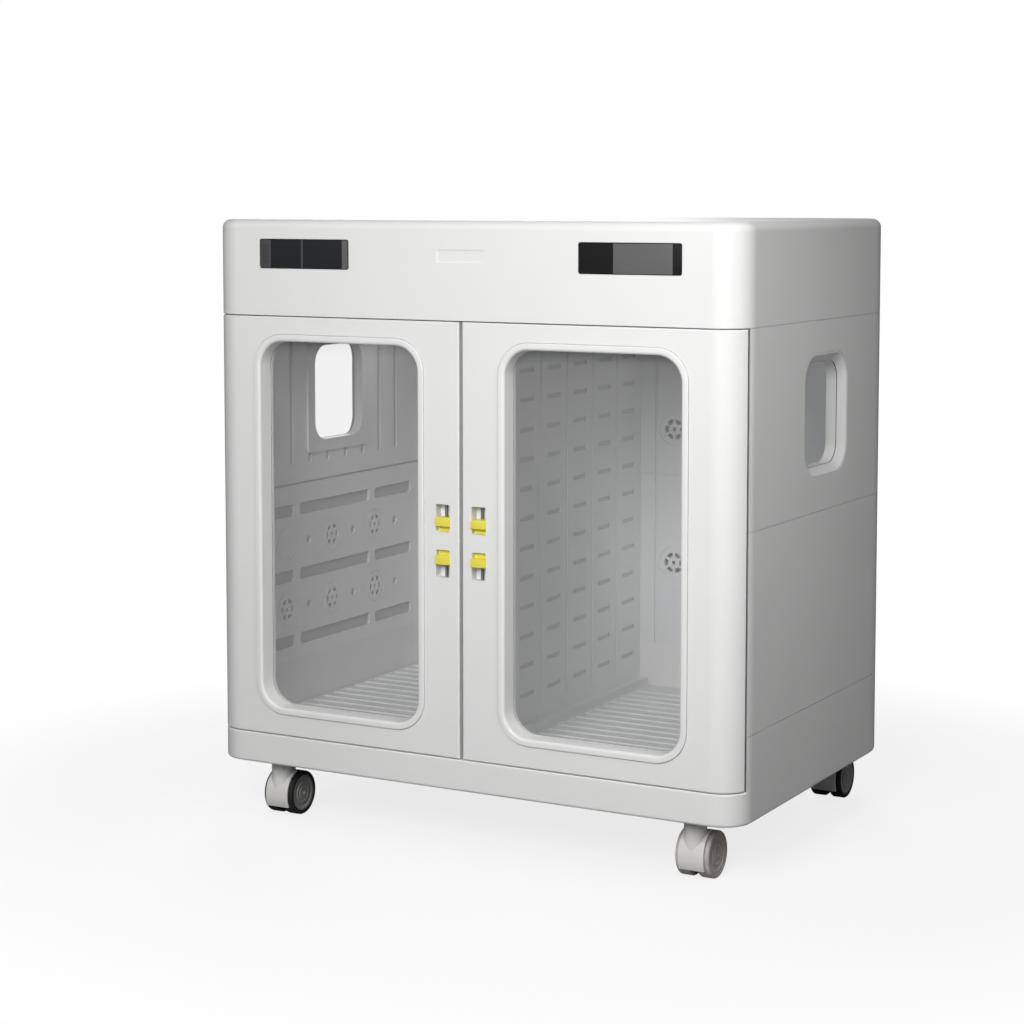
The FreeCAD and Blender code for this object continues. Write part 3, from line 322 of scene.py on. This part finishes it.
@dataclass(frozen=True)
class PlatedSteel:
    """Zinc-plated steel with fine drawn lines."""

    name: str
    colour: Colour
    roughness: float = 0.34
    lines: Tuple[float, float, float] = (1.0, 1.0, 0.04)

    def material(self) -> bpy.types.Material:
        """Build the material."""
        graph = Graph(self.name)
        drawn = graph.noise(0.6 * MM, 3.0, self.lines)
        cloud = graph.noise(0.02, 3.0)
        dull = tuple(share * 0.82 for share in self.colour)
        return graph.finish(graph.node("ShaderNodeBsdfPrincipled", None, {
            "Base Color": graph.blend(cloud, self.colour, dull), "Metallic": 1.0,
            "Roughness": self.roughness - 0.08 + 0.16 * drawn, "Normal": graph.bump(drawn, 0.01 * MM, 0.5)}))


@dataclass(frozen=True)
class GlossPanel:
    """Gloss window plastic with very faint wipe marks."""

    name: str
    colour: Colour
    roughness: float = 0.2

    def material(self) -> bpy.types.Material:
        """Build the material."""
        graph = Graph(self.name)
        wipe = graph.noise(0.02, 4.0, (1.0, 1.0, 5.0))
        lifted = tuple(share * 1.12 + 0.001 for share in self.colour)
        return graph.finish(graph.node("ShaderNodeBsdfPrincipled", None, {
            "Base Color": graph.blend(wipe, self.colour, lifted),
            "Roughness": self.roughness + 0.04 * wipe, "IOR": 1.49}))


@dataclass(frozen=True)
class BoardLacquer:
    """Solder lacquer of a circuit board, with faint copper runs below it."""

    name: str
    colour: Colour

    def material(self) -> bpy.types.Material:
        """Build the material."""
        graph = Graph(self.name)
        runs = ((graph.along("X") * 1600.0).wave() * (graph.along("Z") * 900.0).wave()).above(0.35)
        light = tuple(share * 1.6 for share in self.colour)
        return graph.finish(graph.node("ShaderNodeBsdfPrincipled", None, {
            "Base Color": graph.blend(runs, self.colour, light), "Roughness": 0.3 + 0.2 * graph.noise(0.01)}))


class Finish(Enum):
    """Every finish of the cabinet."""

    CABINET = MouldedPlastic("cabinet_white", tint(236, 236, 235), 0.52)
    LINER = MouldedPlastic("liner_white", tint(232, 233, 234), 0.5)
    # The side liners and the divider get painted shade in their bands, grooves and louvres.
    SIDE_LINER = MouldedPlastic("liner_side", tint(241, 241, 242), 0.5, recess=(0.3685, 0.3712))
    DIVIDER = MouldedPlastic("liner_divider", tint(236, 237, 238), 0.5, recess=(0.0047, 0.0026),
                             recess_shade=0.78)
    HOOD = MouldedPlastic("hood_grey", tint(233, 232, 229), 0.38)
    HUB = MouldedPlastic("hub_grey", tint(146, 145, 143), 0.4)
    HUB_PALE = MouldedPlastic("hub_pale", tint(196, 188, 184), 0.5)
    LATCH = MouldedPlastic("latch_yellow", tint(240, 227, 88), 0.4, variation=0.02, coat=0.15)
    BLACK = MouldedPlastic("black_plastic", tint(38, 38, 39), 0.5)
    PANE = ClearSheet("clear_pane", tint(214, 214, 213))
    TYRE = SoftRubber("caster_tyre", tint(24, 24, 25))
    TYRE_PALE = SoftRubber("tyre_pale", tint(176, 170, 167), 0.6)
    SEAL = SoftRubber("seal_rubber", tint(150, 151, 152), 0.66)
    # Dark colour of the ring that paints the shade of the seam round each hand window.
    BEAD = SoftRubber("seam_shade_dark", tint(74, 74, 75), 0.7)
    STEEL = PlatedSteel("bright_metal", tint(196, 198, 200))
    ROD = PlatedSteel("rod_metal", tint(150, 151, 150), 0.46)
    GLASS_BLACK = GlossPanel("display_black", tint(40, 41, 43))
    GLASS_DARK = GlossPanel("display_dark", tint(30, 30, 31))
    SCREEN = GlossPanel("display_screen", tint(98, 98, 98), 0.22)
    STRIP = GlossPanel("display_strip", tint(74, 75, 77), 0.3)
    BOARD = BoardLacquer("circuit_board", tint(24, 92, 52))


_materials: Dict[Finish, bpy.types.Material] = {}


def material(finish: Finish) -> bpy.types.Material:
    """Give the material of a finish, built once."""
    if finish not in _materials:
        _materials[finish] = finish.value.material()
    return _materials[finish]


# ------------------------------------------------------------------ mesh building
def rounded_outline(width: float, height: float, radius: float, steps: int = 8) -> List[Tuple[float, float]]:
    """Points of a rounded rectangle about its middle, anticlockwise.

    Args:
        width: Size along the first axis.
        height: Size along the second axis.
        radius: Corner radius.
        steps: Spans in each corner.

    Returns:
        The points.
    """
    points = []
    radius = max(min(radius, width / 2 - 1e-6, height / 2 - 1e-6), 1e-6)
    for quarter, (sx, sy) in enumerate(((1, 1), (-1, 1), (-1, -1), (1, -1))):
        for step in range(steps + 1):
            angle = math.pi / 2 * (quarter + step / steps)
            points.append((sx * (width / 2 - radius) + radius * math.cos(angle),
                           sy * (height / 2 - radius) + radius * math.sin(angle)))
    return points


def loft(name: str, rings: Sequence[Ring], caps: bool = True, closed: bool = False,
         smooth: bool = True) -> bpy.types.Object:
    """Skin a row of rings that have as many points each.

    Args:
        name: Name of the piece.
        rings: The rings in order.
        caps: Whether the first and last ring are filled.
        closed: Whether the last ring joins the first.
        smooth: Whether shading runs on over edges shallower than CREASE.

    Returns:
        The piece.
    """
    count = len(rings[0])
    points = [point for ring in rings for point in ring]
    faces: List[Tuple[int, ...]] = []
    spans = len(rings) if closed else len(rings) - 1
    for span in range(spans):
        low, high = span * count, (span + 1) % len(rings) * count
        for step in range(count):
            ahead = (step + 1) % count
            faces.append((low + step, low + ahead, high + ahead, high + step))
    if caps and not closed:
        faces.append(tuple(range(count))[::-1])
        faces.append(tuple((len(rings) - 1) * count + step for step in range(count)))
    mesh = bpy.data.meshes.new(name)
    mesh.from_pydata([tuple(point) for point in points], [], faces)
    mesh.validate()
    piece = bpy.data.objects.new(name, mesh)
    bpy.context.collection.objects.link(piece)
    for other in bpy.context.selected_objects:
        other.select_set(False)
    bpy.context.view_layer.objects.active = piece
    piece.select_set(True)
    bpy.ops.object.mode_set(mode="EDIT")
    bpy.ops.mesh.select_all(action="SELECT")
    bpy.ops.mesh.normals_make_consistent(inside=False)
    bpy.ops.object.mode_set(mode="OBJECT")
    if smooth:
        bpy.ops.object.shade_smooth_by_angle(angle=CREASE)
    return piece


def turned(name: str, profile: Sequence[Tuple[float, float]], centre: Vector, way: float,
           steps: int = 96) -> bpy.types.Object:
    """Turn a closed profile about an axis along X.

    Args:
        name: Name of the piece.
        profile: Points of (distance out along X, radius).
        centre: Point on the axis where the distance is 0.
        way: 1 or -1, the side on which the distance counts.
        steps: Spans round the axis.

    Returns:
        The piece.
    """
    rings = []
    for step in range(steps):
        angle = 2 * math.pi * step / steps
        rings.append([centre + Vector((way * out, radius * math.cos(angle), radius * math.sin(angle)))
                      for out, radius in profile])
    return loft(name, rings, closed=True)


def arc_points(middle: Tuple[float, float], radius: float, start: float, end: float,
               steps: int = 6) -> List[Tuple[float, float]]:
    """Points of an arc in a plane, from one angle to another in degrees."""
    return [(middle[0] + radius * math.cos(math.radians(start + (end - start) * step / steps)),
             middle[1] + radius * math.sin(math.radians(start + (end - start) * step / steps)))
            for step in range(steps + 1)]


def soft_slab(name: str, xs: Tuple[float, float], zs: Tuple[float, float], front: float, back: float,
              corner: float, edge: float) -> bpy.types.Object:
    """Upright rounded plate that faces -Y, with a rounded front edge.

    Args:
        name: Name of the piece.
        xs: Limits along X.
        zs: Limits along Z.
        front: Y of its face.
        back: Y of its back.
        corner: Corner radius seen from the front.
        edge: Rounding of the front edge.

    Returns:
        The piece.
    """
    middle = Vector(((xs[0] + xs[1]) / 2, 0, (zs[0] + zs[1]) / 2))
    width, height = xs[1] - xs[0], zs[1] - zs[0]
    rings = []
    places = [(edge * (1 - math.sin(math.radians(a))), front + edge * (1 - math.cos(math.radians(a))))
              for a in (0, 22.5, 45, 67.5, 90)]
    for inset, y in places + [(0.0, back)]:
        outline = rounded_outline(width - 2 * inset, height - 2 * inset, max(corner - inset, 1e-5))
        rings.append([middle + Vector((u, y, v)) for u, v in outline])
    return loft(name, rings)


def dress(piece: bpy.types.Object, finish: Finish, body: str, *stands_for: str,
          slot: Optional[str] = None) -> None:
    """Give a new piece its finish and body, and hide the CAD nodes that it stands for.

    Args:
        piece: The piece.
        finish: Its finish.
        body: CAD body that it moves with.
        stands_for: CAD nodes that it replaces.
        slot: Material slot of the record, if it isn't the finish's own name; not used.
    """
    piece.data.materials.clear()
    piece.data.materials.append(material(finish))
    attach(piece, body)
    if stands_for:
        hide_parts(*stands_for)
    LOG.info("piece %s on %s", piece.name, body)


def repaint(node: str, finish: Finish) -> None:
    """Put a finish on a CAD node that stays as it is."""
    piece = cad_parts[node]
    if not piece.data.materials:
        piece.data.materials.append(material(finish))
    for place in range(len(piece.data.materials)):
        piece.data.materials[place] = material(finish)
    LOG.info("node %s keeps its shape, finish %s", node, finish.name)


# ------------------------------------------------------------------ sub-assemblies
class Side(Enum):
    """Left or right half of the cabinet, seen from the front."""

    LEFT = "left"
    RIGHT = "right"


@dataclass
class Shell:
    """Mouldings of the cabinet and its two bays, which keep their CAD shapes."""

    white: Tuple[str, ...] = ("base_tray", "side_panel_left_lower", "side_panel_left_upper",
                              "side_panel_right_lower", "side_panel_right_upper", "rear_panel", "head_shell",
                              "hand_window_frame_left", "hand_window_frame_right")
    inside: Tuple[str, ...] = ("floor_panel_left", "floor_panel_right", "liner_rear", "centre_post",
                               "divider_rails", "chamber_ceiling")

    def build(self) -> None:
        """Dress the mouldings."""
        for node in self.white:
            repaint(node, Finish.CABINET)
        for node in self.inside:
            repaint(node, Finish.LINER)
        for node in ("liner_left", "liner_right"):
            repaint(node, Finish.SIDE_LINER)
        repaint("divider", Finish.DIVIDER)


@dataclass
class HeadFittings:
    """Electrical pieces inside and behind the control head."""

    black: Tuple[str, ...] = ("fan_housings", "impeller_left", "impeller_right", "power_inlet", "power_switch")
    metal: Tuple[str, ...] = ("power_supply", "heaters", "temperature_probes", "hinge_pins", "caster_plates",
                              "caster_screws")

    def build(self) -> None:
        """Dress the fittings."""
        for node in self.black:
            repaint(node, Finish.BLACK)
        for node in self.metal:
            repaint(node, Finish.STEEL)
        repaint("controller_board", Finish.BOARD)


@dataclass
class HandWindow:
    """Thin dark ring of painted seam shade round a hand window, where its bevelled mouth ends."""

    side: Side
    bevel: float = 9.8 * MM
    centre: Tuple[float, float] = (4.0 * MM, 569.0 * MM)
    size: Tuple[float, float] = (125.0 * MM, 136.0 * MM)
    corner: float = 27.0 * MM
    width: float = 1.0 * MM
    proud: float = 0.25 * MM
    sunk: float = 0.4 * MM

    def build(self) -> None:
        """Make the ring of painted seam shade as a flat ring that is set in the opening's wall and stands just
        proud of it.
        """
        way = -1.0 if self.side is Side.LEFT else 1.0
        outer = way * (CAD_BOX[1][0] - self.bevel)
        inner = outer - way * self.width
        rings = []
        for x, margin in ((outer, self.proud), (inner, self.proud), (inner, -self.sunk), (outer, -self.sunk)):
            outline = rounded_outline(self.size[0] - 2 * margin, self.size[1] - 2 * margin,
                                      self.corner - margin)
            rings.append([Vector((x, self.centre[0] + u, self.centre[1] + v)) for u, v in outline])
        dress(loft("hand_window_bead_" + self.side.value, rings, caps=False, closed=True), Finish.BEAD, "cabinet",
              slot="seal_rubber")


@dataclass
class Door:
    """One door: its mouldings keep their CAD shapes, and its gasket is made here."""

    side: Side
    gasket_width: float = 8.0 * MM
    gasket_corner: float = 6.0 * MM

    def build(self) -> None:
        """Dress the door and make its gasket."""
        name = self.side.value
        for node in ("door_shell_", "door_liner_", "window_bezel_"):
            repaint(node + name, Finish.CABINET)
        repaint("latch_guides_" + name, Finish.LINER)
        repaint("door_window_" + name, Finish.PANE)
        self._gasket()

    def _gasket(self) -> None:
        """Bulb gasket that follows the ring of the CAD seal."""
        node = "door_seal_" + self.side.value
        low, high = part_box(node)
        half, depth = self.gasket_width / 2, high[1] - low[1]
        middle = Vector(((low[0] + high[0]) / 2, low[1], (low[2] + high[2]) / 2))
        section = [(-half, 0.0), (-half, 0.25), (-half * 0.7, 0.35)]
        section += [(x * half * 0.7, 0.35 + y * 0.63) for x, y in arc_points((0, 0), 1.0, 170, 10, 10)]
        section += [(half * 0.7, 0.35), (half, 0.25), (half, 0.0)]
        rings = []
        for out, rise in section:
            outline = rounded_outline(high[0] - low[0] - 2 * half + 2 * out,
                                      high[2] - low[2] - 2 * half + 2 * out, self.gasket_corner + out, 6)
            rings.append([middle + Vector((u, rise * depth, v)) for u, v in outline])
        dress(loft("gasket_" + self.side.value, rings, caps=False, closed=True), Finish.SEAL,
              "door_" + self.side.value, node)


@dataclass
class SlideLatch:
    """Yellow finger slide with a flat base, a grip bar and a steel bolt rod."""

    side: Side
    level: str
    grip_height: float = 11.4 * MM
    edge: float = 0.5 * MM
    grip_depth: float = 1.6 * MM
    rod_radius: float = 2.0 * MM
    rod_depth: float = 12.0 * MM
    rod_root: float = 3.0 * MM
    rod_spans: int = 24
    slider_height: float = 18.8 * MM
    slider_front: float = 8.0 * MM
    slider_round: float = 1.8 * MM
    side_play: float = 1.25 * MM

    def build(self) -> None:
        """Make the slide and its rod."""
        name = self.side.value + "_" + self.level
        node, body = "latch_" + name, "slide_" + name
        low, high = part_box(node)
        middle = (low[0] + high[0]) / 2
        if self.level == "upper":
            zs = (low[2], low[2] + self.slider_height)
            grip = (zs[1] - self.grip_height, zs[1])
        else:
            zs = (high[2] - self.slider_height, high[2])
            grip = (zs[0], zs[0] + self.grip_height)
        half = (high[0] - low[0]) / 2
        base_half = half - self.side_play
        base = soft_slab("slide_base_" + name, (middle - base_half, middle + base_half), zs,
                         low[1] + self.slider_front, high[1], self.slider_round, self.edge)
        bar = soft_slab("slide_grip_" + name, (middle - half, middle + half), grip, low[1],
                        low[1] + self.grip_depth, 1.2 * MM, self.edge)
        neck = soft_slab("slide_neck_" + name, (middle - base_half, middle + base_half), grip,
                         low[1] + self.grip_depth - self.edge, low[1] + self.slider_front + self.edge,
                         self.slider_round, self.edge / 2)
        dress(base, Finish.LATCH, body, node)
        dress(bar, Finish.LATCH, body)
        dress(neck, Finish.LATCH, body)
        self._rod(name, body, middle, low, high)

    def _rod(self, name: str, body: str, middle: float, low: Vector, high: Vector) -> None:
        """Round rod from the slide to the door's edge, with a tapered tip."""
        y = low[1] + self.rod_depth
        upper = self.level == "upper"
        tip, root = (high[2], low[2] + self.rod_root) if upper else (low[2], high[2] - self.rod_root)
        way = 1.0 if upper else -1.0
        rings = []
        for z, radius in ((root, 1.0), (tip - way * 3 * MM, 1.0), (tip - way * 0.6 * MM, 0.72), (tip, 0.5)):
            reach = self.rod_radius * radius
            turns = [2 * math.pi * n / self.rod_spans for n in range(self.rod_spans)]
            rings.append([Vector((middle + reach * math.cos(a), y + reach * math.sin(a), z)) for a in turns])
        dress(loft("bolt_rod_" + name, rings), Finish.ROD, body, slot="bright_metal")


@dataclass
class DisplayUnit:
    """Dark display unit, with a screen and strips behind one gloss window."""

    side: Side
    rim: float = 5.0 * MM
    corner: float = 3.0 * MM
    edge: float = 0.5 * MM
    proud: float = 0.12 * MM

    def build(self) -> None:
        """Make the window and what shows in it."""
        node = "display_" + self.side.value
        low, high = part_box(node)
        xs = (low[0] + self.rim, high[0] - self.rim)
        zs = (low[2] + self.rim, high[2] - self.rim)
        face = low[1]
        body = soft_slab("display_unit_" + self.side.value, xs, zs, face, high[1], self.corner, self.edge)
        finish = Finish.GLASS_BLACK if self.side is Side.LEFT else Finish.GLASS_DARK
        dress(body, finish, "cabinet", node, slot="display_black")
        width = xs[1] - xs[0]
        if self.side is Side.LEFT:
            self._strip("sensor_strip", xs[0] + 0.012 * width, xs[0] + 0.125 * width, zs, face, Finish.STRIP)
            self._strip("divider_line", xs[0] + 0.468 * width, xs[0] + 0.488 * width, zs, face, Finish.STRIP)
            self._strip("edge_strip", xs[0] + 0.925 * width, xs[1] - 0.012 * width, zs, face, Finish.SCREEN)
            self._dots(xs[0] + 0.068 * width, zs, face)
        else:
            self._strip("screen", xs[0] + 0.34 * width, xs[0] + 0.91 * width, zs, face, Finish.SCREEN)

    def _strip(self, name: str, left: float, right: float, zs: Tuple[float, float], face: float,
               finish: Finish) -> None:
        """Upright band just proud of the window."""
        margin = 0.9 * MM
        band = soft_slab(name + "_" + self.side.value, (left, right), (zs[0] + margin, zs[1] - margin),
                         face - self.proud, face + 0.4 * MM, 0.8 * MM, 0.08 * MM)
        dress(band, finish, "cabinet", slot="display_black")

    def _dots(self, middle: float, zs: Tuple[float, float], face: float) -> None:
        """Three columns of small sounder holes in the sensor strip."""
        pitch, rows, spans = 3.6 * MM, 7, 12
        turns = [2 * math.pi * n / spans for n in range(spans)]
        for column in (-1, 0, 1):
            for row in range(rows):
                x = middle + column * pitch
                z = (zs[0] + zs[1]) / 2 + (row - (rows - 1) / 2) * pitch
                rings = [[Vector((x + r * math.cos(a), y, z + r * math.sin(a))) for a in turns]
                         for r, y in ((0.5 * MM, face - self.proud - 0.05 * MM),
                                      (0.8 * MM, face - self.proud + 0.02 * MM), (0.8 * MM, face))]
                dress(loft("sounder_hole_%d_%d" % (column + 1, row), rings), Finish.GLASS_DARK, "cabinet",
                      slot="display_black")


@dataclass
class Caster:
    """Hooded caster with two wheels; the hood keeps its CAD shape."""

    end: str
    side: Side
    tyre: Finish = Finish.TYRE
    hub: Finish = Finish.HUB
    tyre_depth: float = 5.5 * MM
    shoulder: float = 2.5 * MM

    def build(self) -> None:
        """Dress the hood and make both wheels."""
        place = self.end + "_" + self.side.value
        repaint("caster_hood_" + place, Finish.HOOD)
        for hand, way in (("left", -1.0), ("right", 1.0)):
            self._wheel(place + "_" + hand, way)

    def _wheel(self, name: str, way: float) -> None:
        """Tyre with rounded shoulders on a dished hub with rings."""
        node, body = "wheel_" + name, "roller_" + name
        low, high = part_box(node)
        width, radius = high[0] - low[0], (high[2] - low[2]) / 2
        centre = Vector((low[0] if way > 0 else high[0], (low[1] + high[1]) / 2, (low[2] + high[2]) / 2))
        rim, s = radius - self.tyre_depth, self.shoulder
        tyre = [(0.0, rim - 0.2 * MM)]
        tyre += arc_points((s, radius - s), s, 180, 90)
        tyre += arc_points((width - s, radius - s), s, 90, 0)
        tyre += [(width, rim + 0.4 * MM), (width - 0.5 * MM, rim - 0.2 * MM)]
        dress(turned("tyre_" + name, tyre, centre, way), self.tyre, body, node, slot="caster_tyre")
        face = width - 0.8 * MM
        hub = [(0.0, 3.05 * MM), (face - 1 * MM, 3.05 * MM), (face, 3.6 * MM), (face, 8.2 * MM),
               (face - 0.9 * MM, 8.9 * MM), (face - 0.9 * MM, 11.6 * MM), (face - 0.1 * MM, 12.3 * MM),
               (face - 0.1 * MM, 14.0 * MM), (face - 1.1 * MM, 14.8 * MM), (face - 1.1 * MM, 19.2 * MM),
               (face + 0.2 * MM, 20.4 * MM), (face + 0.4 * MM, 22.0 * MM), (face + 0.2 * MM, rim - 0.6 * MM),
               (face - 0.6 * MM, rim - 0.1 * MM), (0.0, rim - 0.1 * MM)]
        dress(turned("hub_" + name, hub, centre, way), self.hub, body, slot="caster_tyre")


@dataclass
class Studio:
    """Pale floor, white surround, soft lamps and the camera."""

    floor_half: float = 9.0
    eye: Vector = field(default_factory=lambda: Vector((1.491, -2.8137, 0.8502)))
    turn: float = 29.095
    dip: float = 4.75
    lens: float = 81.48
    shift: float = -0.12
    even_light: float = 0.07

    def build(self) -> None:
        """Set up the surround, the lamps and the camera."""
        self._surround()
        self._floor()
        self._lamp("key", (0.45, -2.1, 1.35), (0.0, -0.1, 0.5), 1.0, 37.0)
        side_lamp = self._lamp("side", (1.4, -0.7, 1.3), (0.39, -0.25, 0.6), 0.6, 1.55)
        side_lamp.data.spread = math.radians(75)
        side_lamp.visible_glossy = False
        self._lamp("back", (-1.5, 2.3, 1.6), (0.0, 0.1, 0.4), 1.4, 34.0)
        self._lamp("top", (0.2, -0.4, 3.4), (0.0, 0.0, 0.0), 2.2, 6.0)
        for side, way in ((Side.LEFT, -1.0), (Side.RIGHT, 1.0)):
            self._lamp("bay_" + side.value, (way * 0.27, 0.05, 0.64), (way * 0.30, 0.24, 0.48), 0.12, 0.05)
        self._camera()

    def _surround(self) -> None:
        """White where the camera looks past the cabinet, and a low even light for the rest."""
        world = bpy.data.worlds.new("surround")
        bpy.context.scene.world = world
        world.use_nodes = True
        tree = world.node_tree
        tree.nodes.clear()
        path = tree.nodes.new("ShaderNodeLightPath")
        share = tree.nodes.new("ShaderNodeMath")
        share.operation = "MAXIMUM"
        tree.links.new(path.outputs["Is Camera Ray"], share.inputs[0])
        tree.links.new(path.outputs["Is Transmission Ray"], share.inputs[1])
        mixed = tree.nodes.new("ShaderNodeMixShader")
        tree.links.new(share.outputs[0], mixed.inputs[0])
        for place, strength in ((1, self.even_light), (2, 1.0)):
            light = tree.nodes.new("ShaderNodeBackground")
            light.inputs["Color"].default_value = (1.0, 1.0, 1.0, 1.0)
            light.inputs["Strength"].default_value = strength
            tree.links.new(light.outputs[0], mixed.inputs[place])
        output = tree.nodes.new("ShaderNodeOutputWorld")
        tree.links.new(mixed.outputs[0], output.inputs["Surface"])

    def _floor(self) -> None:
        """Pale floor that goes over into plain white a few metres out."""
        half = self.floor_half
        rings = [[Vector((x * half, y * half, 0)) for x, y in ((-1, -1), (1, -1), (1, 1), (-1, 1))],
                 [Vector((x * half, y * half, -0.02)) for x, y in ((-1, -1), (1, -1), (1, 1), (-1, 1))]]
        floor = loft("floor", rings, smooth=False)
        graph = Graph("floor_pale")
        x, y = graph.along("X"), graph.along("Y")
        far = graph.value("ShaderNodeMapRange", {"interpolation_type": "SMOOTHSTEP"},
                          {"Value": x * x + y * y, "From Min": 0.3, "From Max": 1.2,
                           "To Min": 0.8, "To Max": 1.0})
        seen = graph.value("ShaderNodeLightPath", None, None, "Is Camera Ray")
        matt = graph.node("ShaderNodeBsdfDiffuse", None, {
            "Color": graph.blend(seen, (0.3, 0.3, 0.3), (0.95, 0.95, 0.95))})
        white = graph.node("ShaderNodeEmission", None, {"Color": (1.0, 1.0, 1.0), "Strength": 1.0})
        floor.data.materials.append(graph.finish(graph.node("ShaderNodeMixShader", None, {
            0: far * seen, 1: matt.outputs[0], 2: white.outputs[0]})))

    @staticmethod
    def _lamp(name: str, place: Sequence[float], aim: Sequence[float], size: float,
              power: float) -> bpy.types.Object:
        """Square soft lamp that the camera doesn't see.

        Args:
            name: Name of the lamp.
            place: Where it hangs.
            aim: Point that it faces.
            size: Side of the square in metres.
            power: Power in watts.

        Returns:
            The lamp.
        """
        data = bpy.data.lights.new(name, "AREA")
        data.size = size
        data.energy = power
        lamp = bpy.data.objects.new(name, data)
        lamp.location = place
        lamp.visible_camera = False
        lamp.rotation_euler = (Vector(aim) - Vector(place)).to_track_quat("-Z", "Y").to_euler()
        bpy.context.collection.objects.link(lamp)
        return lamp

    def _camera(self) -> None:
        """Camera at the height of the cabinet's top, looking slightly down at its right front corner."""
        data = bpy.data.cameras.new("camera")
        data.lens = self.lens
        data.sensor_width = 36.0
        data.shift_y = self.shift
        camera = bpy.data.objects.new("camera", data)
        camera.location = self.eye
        camera.rotation_euler = (math.radians(90 - self.dip), 0.0, math.radians(self.turn))
        bpy.context.collection.objects.link(camera)
        bpy.context.scene.camera = camera


def main() -> None:
    """Build every sub-assembly and the studio."""
    logging.basicConfig(level=logging.INFO, format="%(message)s")
    bpy.context.scene.view_settings.view_transform = "Standard"
    assemblies: List = [Shell(), HeadFittings()]
    assemblies += [HandWindow(side) for side in Side]
    assemblies += [Door(side) for side in Side]
    assemblies += [SlideLatch(side, level) for side in Side for level in ("upper", "lower")]
    assemblies += [DisplayUnit(side) for side in Side]
    assemblies += [Caster("front", Side.LEFT), Caster("front", Side.RIGHT, Finish.TYRE_PALE, Finish.HUB_PALE)]
    assemblies += [Caster("rear", side) for side in Side]
    assemblies.append(Studio())
    for assembly in assemblies:
        assembly.build()
        LOG.info("built %s", type(assembly).__name__)


if __name__ == "__main__":
    main()
